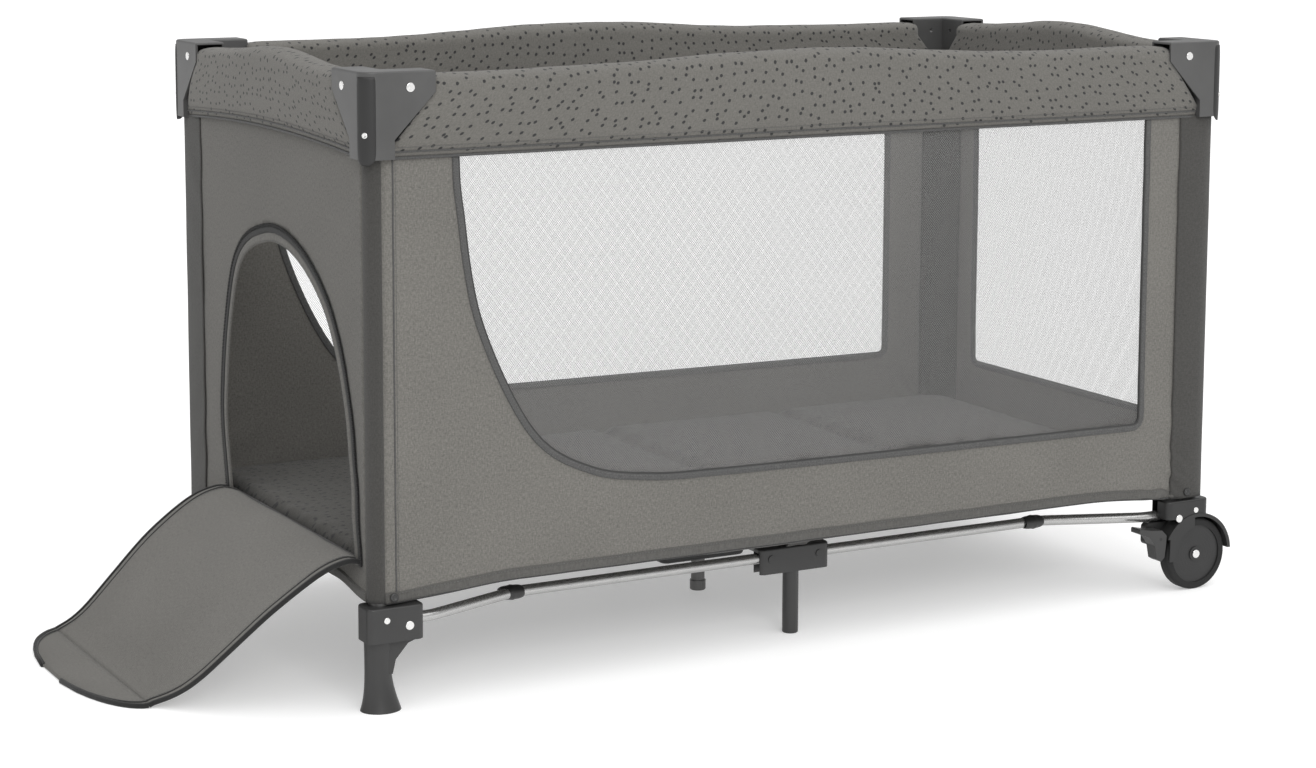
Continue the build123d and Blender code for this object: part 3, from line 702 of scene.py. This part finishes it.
def build_long_wall(side):
    place = long_place(side)
    normal = Vector((0, -1 if side == "front" else 1, 0))
    reach = POST_X - 0.002
    corners = window_corners()
    outline = panel_outline(reach)
    wall = patch(f"{side}_wall_cloth", outline, [corners], place, WALL_CLOTH)
    thicken(wall, CLOTH)
    hang(wall, side)
    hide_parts(f"{side}_wall")
    area_of(outline) - area_of(corners)

    def net_place(x, z):
        sag = 0.0014 * wobble(x, z, 12, 2.0)
        return Vector((x, normal.y * (WALL_Y - 0.0016 + sag * bell((z - 0.45) / 0.22)), z))
    net = patch(f"{side}_net", grown([Vector(c) for c in corners], -0.003, True), [], net_place, NET, 0.016)
    hang(net, side)
    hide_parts(f"{side}_wall")
    area_of(corners)

    edge = [Vector(c) for c in corners[:-1]] + [Vector((WINDOW_RIGHT, WALL_TOP + 0.004))]
    edge = rounded(edge, 0.010, closed=False)
    sewn_edge(f"{side}_window", side, list(edge), place, normal)

    hem = sew_hem(side, reach, 150, place, normal)
    hang(ribbon(f"{side}_hem_piping", [place(s, z - 0.0066, 0.0006) for s, z in hem], normal, 0.0028, 0.0028,
                DARK_TAPE), side)
    for end in (-1, 1):
        heights = np.linspace(WALL_BOTTOM + 0.006, WALL_TOP + 0.004, 60)
        seam = [Vector((end * (reach - 0.0145), z)) for z in heights]
        label = "left" if end < 0 else "right"
        hang(ribbon(f"{side}_seam_{label}", laid(place, seam, 0.0008), normal, 0.0022, 0.0016,
                    SEAM_PIPING), side)
        row = [place(p.x - end * 0.0035, p.y, 0.0010) for p in seam]
        hang(stitches(f"{side}_seam_{label}_stitches", row, normal), side)


build_long_wall("front")
build_long_wall("rear")


def build_end_wall(side):
    place = end_place(side)
    normal = Vector((-1 if side == "left" else 1, 0, 0))
    reach = POST_Y - 0.002
    if side == "left":
        hole = [tuple(p) for p in spline(DOOR_ARCH, 10)]
    else:
        low, high, bottom = END_WINDOW
        hole = [(low, WALL_TOP + 0.004), (low, bottom), (high, bottom), (high, WALL_TOP + 0.004)]
    outline = panel_outline(reach, 0.011)
    wall = patch(f"{side}_wall_cloth", outline, [hole], place,
                 LEFT_WALL_PAINTED_SHADE_CLOTH if side == "left" else WALL_CLOTH, uv_shift=(3.0, 0.0))
    thicken(wall, CLOTH)
    hang(wall, side)
    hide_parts(f"{side}_wall")
    area_of(outline) - area_of(hole)
    if side == "right":
        def net_place(y, z):
            return Vector((WALL_X - 0.0016 + 0.0010 * wobble(y, z, 14, 2.4), y, z))
        net = patch("right_net", grown([Vector(c) for c in hole], -0.003, True), [], net_place, NET, 0.016)
        hang(net, side)
        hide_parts("right_wall")
        edge = rounded([Vector(c) for c in hole], 0.010, closed=False)
        sewn_edge("right_window", side, edge, place, normal)
    else:
        arch = resample(hole, 0.006)
        out = grown(arch, -ZIP * 0.3)
        hang(ribbon("door_zip_tape", laid(place, out, 0.0016), normal, ZIP, 0.0026, ZIP_TAPE), side)
        hang(ribbon("door_zip_tape_inside", laid(place, out, -0.0016), normal, ZIP, 0.0022,
                    ZIP_TAPE), side)
        hang(teeth("door_zip_teeth", laid(place, grown(arch, 0.0018), 0.0030), normal), side)
        cover_line = grown(arch, -ZIP * 0.3 - 0.0105)
        # The zip cover is cut from the left wall's cloth, with its painted shade.
        hang(ribbon("door_zip_cover", laid(place, cover_line, 0.0014), normal, 0.012, 0.0022,
                    LEFT_WALL_PAINTED_SHADE_CLOTH), side)
        hang(stitches("door_stitches", laid(place, grown(arch, -ZIP * 0.3 - 0.0145), 0.0026),
                      normal), side)
        sill = [(y, SILL.z + 0.001) for y in np.linspace(DOOR_ARCH[0][0], DOOR_ARCH[-1][0], 60)]
        hang(ribbon("door_sill_piping", laid(place, sill, 0.0004), normal, 0.004, 0.004,
                    SEAM_PIPING), side)

    sew_hem(side, reach, 90, place, normal)


build_end_wall("left")
build_end_wall("right")


# ---- sleeves round the posts --------------------------------------------------------------
def build_sleeve(corner, sx, sy):
    """Cloth sleeve of a post, tight round the outer corner and tucked along both walls inside.

    A strip of its dark cloth lies over the castor end of each long wall and the rear end of each end wall,
    wider than the sleeve: partly sleeve cloth and partly painted shade beside the post. A snap sits at its
    foot.
    """
    outer = math.atan2(sy, sx)
    lobes = (math.atan2(sy * 0.0125, -sx * 0.030), math.atan2(-sy * 0.030, sx * 0.0125))

    def gap(a, b):
        return (a - b + math.pi) % math.tau - math.pi

    def point(u, v):
        angle = math.tau * u
        z = SLEEVE_BOTTOM + v * (BRACKET_TIP + 0.004 - SLEEVE_BOTTOM)
        r = 0.0152 + 0.0022 * eased((abs(gap(angle, outer)) - 1.2) / 0.8)
        for lobe in lobes:
            r += 0.017 * bell(gap(angle, lobe) / 0.20)
        crumple = 0.0010 * wobble(math.cos(angle) * 0.3 + sx, z, 20 + sy, 9.0)
        near_ends = bell((v - 0.03) / 0.05) + bell((v - 0.97) / 0.05)
        crumple += 0.0007 * math.sin(z * 160 + 3 * angle) * near_ends
        r += crumple * (0.35 + eased((abs(gap(angle, outer)) - 0.9) / 0.8))
        x = min(0.0153, sx * r * math.cos(angle))
        y = min(0.0153, sy * r * math.sin(angle))
        tucked_x = x - max(0.0, x - 0.0110) * eased((-y - 0.001) / 0.006)
        tucked_y = y - max(0.0, y - 0.0110) * eased((-x - 0.001) / 0.006)
        return Vector((sx * (POST_X + tucked_x), sy * (POST_Y + tucked_y), z))
    sleeve = surface(f"{corner}_sleeve", 72, 90, point, SLEEVE_CLOTH,
                     lambda u, v: (u * 0.12, v * 0.53), loop=True)
    thicken(sleeve, 0.0010, -1.0)
    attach(sleeve, f"{corner}_corner")

    # Each strip is dark sleeve cloth laid over the wall next to the post; past the sleeve's width it is
    # painted shade beside the post.
    for wall, has_shade_strip in (("long", sx > 0), ("end", sy > 0)):
        if not has_shade_strip:
            continue
        width = 0.036 if wall == "long" else 0.050

        def facing(u, v):
            reach = u * (width + 0.020)
            z = WALL_BOTTOM - 0.004 + v * (BRACKET_TIP - WALL_BOTTOM + 0.006)
            along = 0.0160 - reach
            if wall == "long":
                relief = long_relief(sx * (POST_X + along), z)
            else:
                relief = end_relief(POST_Y + along, z)
            ripple = 0.0004 * wobble(u * 0.05 + sx, z, 25 + sy, 14.0)
            turn = max(0.0, 0.016 - reach)
            proud = 0.0163 + relief + ripple + 0.0014 * math.sin(math.pi * u) - turn * turn * 14
            if wall == "long":
                return Vector((sx * (POST_X + along), sy * (POST_Y + proud), z))
            return Vector((sx * (POST_X + proud), sy * (POST_Y + along), z))
        shade_strip = surface(f"{corner}_sleeve_{wall}_face", 16, 90, facing, SLEEVE_CLOTH,
                       lambda u, v: (u * width, v * 0.53))
        thicken(shade_strip, 0.0012)
        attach(shade_strip, f"{corner}_corner")

    snap = ball(f"{corner}_snap", (sx * (POST_X - 0.012), sy * (WALL_Y + 0.0030), 0.1385), 0.0055, 0.0026,
                (0, sy, 0), HUB_PLASTIC)
    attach(snap, f"{corner}_corner")


def build_corner_band(corner, sx, sy):
    """Dark grip moulded round the vertical edge of a bracket, with a screw and a rounded tongue below."""
    radius = 0.018
    centre = Vector((sx * (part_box(f"{corner}_bracket")[1 if sx > 0 else 0].x * sx - radius),
                     sy * (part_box(f"{corner}_bracket")[1 if sy > 0 else 0].y * sy - radius), 0))

    def point(u, v):
        angle = math.radians(6 + 78 * u)
        tongue = 0.009 * (1 - abs(2 * u - 1) ** 3)
        low = BRACKET_TIP + 0.003 - tongue
        z = low + v * (BRACKET_TOP - 0.006 - low)
        r = radius + 0.0010 - 0.0012 * abs(2 * u - 1) ** 6 - 0.0008 * abs(2 * v - 1) ** 8
        return centre + Vector((sx * r * math.cos(angle), sy * r * math.sin(angle), z))
    band = surface(f"{corner}_band", 24, 40, point, BAND_PLASTIC, lambda u, v: (u * 0.03, v * 0.11))
    thicken(band, 0.0012, 0.0)
    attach(band, f"{corner}_corner")
    out = Vector((sx, sy, 0)).normalized()
    seat = centre + out * (radius + 0.0014) + Vector((0, 0, 0.687))
    head = ball(f"{corner}_band_screw", seat, 0.0036, 0.0014, out, RIVET_STEEL)
    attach(head, f"{corner}_corner")


CORNERS = {"front_left": (-1, -1), "front_right": (1, -1), "rear_left": (-1, 1), "rear_right": (1, 1)}
for corner, (sx, sy) in CORNERS.items():
    build_sleeve(corner, sx, sy)
    build_corner_band(corner, sx, sy)


# ---- padded covers over the rails ----------------------------------------------------------
def build_cover(side):
    """Puffy sleeve over a rail, sewn to the wall below and tucked under the brackets at its ends."""
    is_long = side in ("front", "rear")
    sign = -1 if side in ("front", "left") else 1
    top_half = (WING_X if is_long else WING_Y) + 0.0015
    axis = POST_Y if is_long else POST_X
    arch = 0.0 if is_long else 0.011
    crown = 0.015 if is_long else 0.0145
    crown_width = 0.17 if is_long else 0.13
    skirt = WALL_TOP + 0.0035

    def half_length(z):
        return top_half + max(0.0, BRACKET_TOP - 0.025 - z) * 0.82

    def section(u, s):
        """Offset from the rail's axis (positive outwards) and height at u round the section."""
        rise = 0.0005 + crown * bell(s / (crown_width * (1.5 if s < 0 and is_long else 1.0)))
        lift = arch * max(0.0, 1 - (s / (axis if is_long else POST_Y)) ** 2)
        if u < 0.40 or u > 0.60:
            t = u / 0.40 if u < 0.40 else (1 - u) / 0.40
            low = skirt + lift if u < 0.5 else skirt + lift * 0.4 - 0.002
            z = low + (SHOULDER + rise * 0.75 - low) * t
            width = COVER_HALF + PUFF * math.sin(math.pi * min(1.0, t * 1.15) * 0.62) ** 0.9
            offset = width if u < 0.5 else -width
            return offset, z
        t = (u - 0.40) / 0.20
        angle = math.pi * t
        width = COVER_HALF + PUFF * math.sin(math.pi * 0.62) ** 0.9
        top = (0.0118 + rise * 0.25) * math.sin(angle) ** 0.8
        return width * math.cos(angle), SHOULDER + rise * 0.75 + top

    def point(u, v):
        q = 2 * v - 1
        guess = section(u, q * top_half)
        s = q * half_length(guess[1])
        offset, z = section(u, s)
        seed = {"front": 31, "rear": 32, "left": 33, "right": 34}[side]
        puff = 0.0016 * wobble(s, u * 0.25, seed, 7.0) + 0.0008 * wobble(s, u * 0.3, seed + 5, 22.0)
        pinch = 1 - eased((1 - abs(q)) / 0.05)
        seam_pull = bell((z - skirt) / 0.010)
        ripple = 0.0007 * math.sin(s * 210 + 4 * wobble(s, 0, seed, 5)) * seam_pull
        grow = (puff + ripple) * (1 - 0.8 * pinch) - 0.0012 * pinch - 0.0015 * seam_pull
        flat = math.hypot(offset, z - SHOULDER)
        offset += offset / flat * grow
        z += (z - SHOULDER) / flat * grow if z > 0.735 else 0.0
        if is_long:
            return Vector((s, sign * (POST_Y + offset), z))
        return Vector((sign * (POST_X + offset), s, z))

    def uv(u, v):
        return (2 * v - 1) * half_length(0.70) + (0 if is_long else 5), u * 0.24 + (0 if sign > 0 else 7)
    cover = surface(f"{side}_cover", 44, 150 if is_long else 72, point, DOTTED, uv)
    thicken(cover, 0.0030, 1.0 if (sign > 0) != is_long else -1.0)
    hang(cover, side)
    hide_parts(f"{side}_rail_cover")

    normal = Vector((0, sign, 0)) if is_long else Vector((sign, 0, 0))
    for label, u, width in (("lower", 0.0, 0.0034), ("upper", 0.035, 0.0020)):
        line = resample([point(u, v) + normal * 0.0006 for v in np.linspace(0.0, 1.0, 160)], 0.006)
        hang(ribbon(f"{side}_cover_piping_{label}", line, normal, width, width, SEAM_PIPING, sides=8), side)
    row = [point(0.060, v) + normal * 0.0008 for v in np.linspace(0.0, 1.0, 160)]
    hang(stitches(f"{side}_cover_stitches", row, normal), side)
    inner = [point(0.99, v) - normal * 0.0004 for v in np.linspace(0.0, 1.0, 160)]
    hang(ribbon(f"{side}_cover_piping_inside", inner, -normal, 0.003, 0.003, SEAM_PIPING, sides=8), side)


for wall_side in ("front", "rear", "left", "right"):
    build_cover(wall_side)


# ---- floor and mattress -------------------------------------------------------------------
def build_floor(side):
    """Half of the cloth floor, raised at its edge and sagging a little between the base arms."""
    sign = -1 if side == "left" else 1
    half_width = FLOOR_HIGH.y + 0.008
    length = POST_X + 0.006
    corner = 0.04
    outline = [(0.0, -half_width), (length - corner, -half_width), (length, -half_width + corner),
               (length, half_width - corner), (length - corner, half_width), (0.0, half_width)]

    def place(s, y):
        edge = max(eased((abs(y) - half_width + 0.035) / 0.035), eased((s - length + 0.035) / 0.035))
        sag = 0.0022 * wobble(s * sign, y, 41, 5.0) + 0.0008 * wobble(s, y, 42, 16.0)
        height = FLOOR_LOW.z + 0.0015 + 0.0085 * edge - 0.0035 * (1 - edge) + sag * (1 - edge)
        return Vector((sign * s, y, height))
    floor = patch(f"{side}_floor_cloth", outline, [], place, HEM_CLOTH, 0.014)
    thicken(floor, 0.0014)
    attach(floor, f"front_{side}_arm")
    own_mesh(floor)
    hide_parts(f"{side}_floor")


build_floor("left")
build_floor("right")


def build_mattress():
    """Thin pad in four stuffed panels, creased where it folds, with piping round its edge."""
    half_x, half_y = MAT_HIGH.x - 0.002, MAT_HIGH.y - 0.002
    middle = (MAT_LOW.z + MAT_HIGH.z) / 2 - 0.001
    corner = 0.045
    creases = [-half_x / 2, 0.0, half_x / 2]

    def boundary(u):
        """Point on the rounded outline at share u of the way round."""
        straight_x, straight_y, arc = 2 * (half_x - corner), 2 * (half_y - corner), math.pi / 2 * corner
        run = u * 2 * (straight_x + straight_y + 2 * arc)
        for cx, cy, heading, straight in ((1, -1, 0, straight_x), (1, 1, 1, straight_y),
                                          (-1, 1, 2, straight_x), (-1, -1, 3, straight_y)):
            direction = Vector((math.cos(heading * math.pi / 2), math.sin(heading * math.pi / 2)))
            centre = Vector((cx * (half_x - corner), cy * (half_y - corner)))
            side = Vector((direction.y, -direction.x))
            if run <= straight:
                return centre - direction * (straight - run) + side * corner
            run -= straight
            if run <= arc:
                turn = run / corner
                return centre + side * (corner * math.cos(turn)) + direction * (corner * math.sin(turn))
            run -= arc
        return Vector((-(half_x - corner), -half_y))

    outline = [boundary(i / 480) for i in range(480)]

    def depth(x, y):
        """Distance inwards from the outline."""
        dx, dy = half_x - abs(x), half_y - abs(y)
        if dx < corner and dy < corner:
            return corner - math.hypot(corner - dx, corner - dy)
        return min(dx, dy)

    def level(x, y, up):
        inward = max(0.0, depth(x, y))
        shoulder = min(1.0, inward / 0.016)
        thick = 0.0125 * math.sqrt(max(0.0, 1 - (1 - shoulder) ** 2))
        if not up:
            return Vector((x, y, middle - thick * 0.95))
        panel = min(abs(x - c) for c in creases)
        valley = bell(panel / 0.011)
        crown = 0.0052 * eased(panel / 0.09) * eased(inward / 0.09)
        lumps = 0.0020 * wobble(x, y, 51, 6.0) + 0.0008 * wobble(x, y, 52, 19.0)
        pucker = 0.0012 * math.sin(y * 120 + 3 * wobble(x, y, 53, 5)) * bell((panel - 0.018) / 0.014)
        rim = 0.0009 * math.sin((x + y) * 130 + 2 * wobble(x, y, 54, 6)) * bell((inward - 0.020) / 0.012)
        high = thick + (crown + lumps + pucker + rim) * eased(inward / 0.012) - valley * 0.0105 * shoulder
        return Vector((x, y, middle + high))

    top = patch("mattress_top", outline, [], lambda x, y: level(x, y, True), MAT_CLOTH, 0.0085)
    bottom = patch("mattress_under", outline, [], lambda x, y: level(x, y, False), MAT_CLOTH, 0.020)
    for part in (top, bottom):
        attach(part, "mattress")
    thicken(top, 0.0012, -1.0)
    thicken(bottom, 0.0012, -1.0)
    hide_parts("mattress")
    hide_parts("mattress")
    edge = [Vector((p.x, p.y, middle)) for p in outline]
    piping = ribbon("mattress_piping", edge, Vector((0, 0, 1)), 0.0046, 0.0046, SEAM_PIPING, closed=True)
    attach(piping, "mattress")
    for index, x in enumerate(creases):
        for shift in (-0.0022, 0.0022):
            rows = np.linspace(-half_y + 0.01, half_y - 0.01, 150)
            line = [level(x + shift, y, True) + Vector((0, 0, 0.0005)) for y in rows]
            seam = stitches(f"mattress_seam_{index}_{'a' if shift < 0 else 'b'}", line, Vector((0, 0, 1)))
            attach(seam, "mattress")


build_mattress()


# ---- door flap ----------------------------------------------------------------------------
FLAP_PROFILE = [(-0.613, 0.1735), (-0.636, 0.1785), (-0.672, 0.1640), (-0.722, 0.1210), (-0.772, 0.0690),
                (-0.814, 0.0240), (-0.842, 0.0052), (-0.858, 0.0030), (-0.882, 0.0030), (-0.908, 0.0030)]
FLAP_NEAR = [(-0.613, -0.283), (-0.700, -0.274), (-0.780, -0.232), (-0.840, -0.172)]
FLAP_FAR = [(-0.613, 0.163), (-0.700, 0.176), (-0.780, 0.190), (-0.840, 0.204)]
FLAP_BEND = -0.851
flap_line = resample(spline([(x, 0, z) for x, z in FLAP_PROFILE], 12), FLAP_ROW)


def edge_at(points, x):
    """Y of a flap edge at x, along a smooth line."""
    line = spline(points, 12)
    for a, b in zip(line, line[1:]):
        if a.x >= x >= b.x:
            return a.y + (b.y - a.y) * (x - a.x) / (b.x - a.x)
    return line[-1].y


def flap_edges(x):
    if x >= -0.840:
        return edge_at(FLAP_NEAR, x), edge_at(FLAP_FAR, x)
    share = (-0.840 - x) / 0.0695
    bow = math.sqrt(max(0.0, 1 - share * share))
    return 0.016 - 0.188 * bow, 0.016 + 0.188 * bow


flap_rows = [(p, *flap_edges(p.x)) for p in flap_line]


def flap_point(u, row):
    p, near, far = flap_rows[row]
    y = near + (far - near) * u
    lift = 0.0030 * wobble(p.x, y, 61, 6.0) + 0.0010 * wobble(p.x, y, 62, 20.0)
    lift *= eased((p.z - 0.004) / 0.03) * 0.9 + 0.1
    curl = 0.006 * (abs(2 * u - 1) ** 3) * bell((p.x + 0.73) / 0.07)
    return Vector((p.x, y, max(0.0027, p.z + lift + curl)))


def flap_fix(piece, body):
    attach(piece, body)
    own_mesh(piece)


def build_flap():
    bend = max(i for i, (p, _, _) in enumerate(flap_rows) if p.x >= FLAP_BEND)
    spans = (("door_flap", "flap_slope_cloth", 0, bend, (0.46, 0.30), 0.125),
             ("door_flap_tip", "flap_tip_cloth", bend, len(flap_rows) - 1, (0.376, 0.060), 0.0175))
    for body, name, first, last, flat, area in spans:
        count = last - first

        def point(u, v):
            return flap_point(u, first + round(v * count))
        piece = surface(name, 56, count, point, FLAP_CLOTH,
                        lambda u, v: (u * 0.43, (first + v * count) * FLAP_ROW))
        thicken(piece, 0.0030)
        flap_fix(piece, body)
        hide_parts(body)
        for label, u in (("near", 0.0), ("far", 1.0)):
            line = [flap_point(u, i) for i in range(first, last + 1)]
            flap_fix(ribbon(f"{name}_edge_{label}", line, Vector((0, 0, 1)), 0.0065, 0.0060, ZIP_TAPE), body)
            inner = 0.028 if u == 0.0 else 0.972
            inset = [flap_point(inner, i) + Vector((0, 0, 0.0022)) for i in range(first, last + 1)]
            piping = ribbon(f"{name}_piping_{label}", inset, Vector((0, 0, 1)), 0.0026, 0.0020, DARK_TAPE)
            flap_fix(piping, body)
            row = [flap_point(inner + (0.012 if u == 0.0 else -0.012), i) + Vector((0, 0, 0.0020))
                   for i in range(first, last + 1)]
            flap_fix(stitches(f"{name}_stitches_{label}", row, Vector((0, 0, 1))), body)


build_flap()


# ---- clips, tabs and grips -----------------------------------------------------------------
def build_clip(name, body, centre, lean):
    """Moulded clip that holds the hem to a base arm."""
    along = Vector((1, lean, 0)).normalized()
    side = Vector((0, 0, 1)).cross(along)

    def point(u, v):
        angle = math.tau * u
        bulge = 1 + 0.10 * math.cos(2 * angle)
        swell = 0.0098 * bulge * (1 - 0.20 * abs(2 * v - 1) ** 4) + 0.0008 * bell((v - 0.5) / 0.08)
        return (Vector(centre) + along * ((v - 0.5) * 0.030) + side * (math.cos(angle) * swell)
                + Vector((0, 0, math.sin(angle) * swell)))
    clip = surface(name, 28, 16, point, HUB_PLASTIC, lambda u, v: (u * 0.06, v * 0.03), loop=True)
    thicken(clip, 0.0016, -1.0)
    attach(clip, body)


for corner, (sx, sy) in CORNERS.items():
    x = -0.405 if sx < 0 else 0.385
    build_clip(f"{corner}_hem_clip", f"{corner}_arm", (x, sy * 0.2460, 0.104), -sx * sy * 0.04)


def build_hub_tab(side):
    """Cloth tab from the hem down to the side hub."""
    sign = -1 if side == "front" else 1

    def point(u, v):
        x = (u - 0.5) * (0.030 + 0.012 * v)
        z = 0.1195 + v * 0.0225
        y = sign * (0.2585 + (WALL_Y - 0.2605) * v ** 1.4 + 0.0012 * math.sin(u * 9 + v * 3))
        return Vector((x, y, z))
    tab = surface(f"{side}_hub_tab", 14, 12, point, SLEEVE_CLOTH, lambda u, v: (u * 0.04, v * 0.06))
    thicken(tab, 0.0016)
    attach(tab, f"{side}_hub")


build_hub_tab("front")
build_hub_tab("rear")


# ---- studio ---------------------------------------------------------------------------------
def build_ground():
    size = 60.0
    ground = make("ground", [(-size, -size, 0), (size, -size, 0), (size, size, 0), (-size, size, 0)],
                  [(0, 1, 2, 3)], ground_finish("ground"), [(0, 0), (1, 0), (1, 1), (0, 1)])


def area_light(name, location, target, size, power):
    data = bpy.data.lights.new(name, "AREA")
    data.shape = "RECTANGLE"
    data.size, data.size_y = size
    data.energy = power
    lamp = bpy.data.objects.new(name, data)
    bpy.context.scene.collection.objects.link(lamp)
    lamp.location = location
    lamp.rotation_euler = (Vector(target) - Vector(location)).to_track_quat("-Z", "Y").to_euler()


def sun_light(name, direction, strength, spread):
    """Even light from far away, softened as by a large diffuser; direction points where it shines."""
    data = bpy.data.lights.new(name, "SUN")
    data.energy = strength
    data.angle = math.radians(spread)
    lamp = bpy.data.objects.new(name, data)
    bpy.context.scene.collection.objects.link(lamp)
    lamp.rotation_euler = Vector(direction).to_track_quat("-Z", "Y").to_euler()


def build_studio():
    build_ground()
    world = bpy.data.worlds.new("studio")
    bpy.context.scene.world = world
    world.use_nodes = True
    background = world.node_tree.nodes["Background"]
    background.inputs["Color"].default_value = (1.0, 1.0, 1.0, 1.0)
    background.inputs["Strength"].default_value = 0.68
    sun_light("overhead", (-0.10, 0.34, -1.0), 1.7, 90)
    area_light("key", (-1.3, -4.6, 3.0), (-0.3, 0.0, 0.35), (2.2, 1.8), 70)
    bpy.context.scene.view_settings.view_transform = "Standard"


build_studio()

# ---- camera -----------------------------------------------------------------------------------
CAMERA_PLACE = Vector((-1.8773, -3.3047, 1.0087))
CAMERA_YAW = 0.4999          # from +Y towards +X, radians
CAMERA_PITCH = -0.1342
CAMERA_ROLL = 0.003

forward = Vector((math.sin(CAMERA_YAW) * math.cos(CAMERA_PITCH),
                  math.cos(CAMERA_YAW) * math.cos(CAMERA_PITCH), math.sin(CAMERA_PITCH)))
right = forward.cross(Vector((0, 0, 1))).normalized()
up = right.cross(forward)
rolled_right = right * math.cos(CAMERA_ROLL) + up * math.sin(CAMERA_ROLL)
rolled_up = up * math.cos(CAMERA_ROLL) - right * math.sin(CAMERA_ROLL)
camera_data = bpy.data.cameras.new("camera")
camera_data.sensor_width = 36.0
camera_data.lens = 77.09
camera_data.shift_x = 0.0039
camera_data.shift_y = -0.114
camera_data.clip_end = 60.0
camera = bpy.data.objects.new("camera", camera_data)
bpy.context.scene.collection.objects.link(camera)
camera.matrix_world = Matrix.Translation(CAMERA_PLACE) @ Matrix(
    (rolled_right, rolled_up, -forward)).transposed().to_4x4()
bpy.context.scene.camera = camera
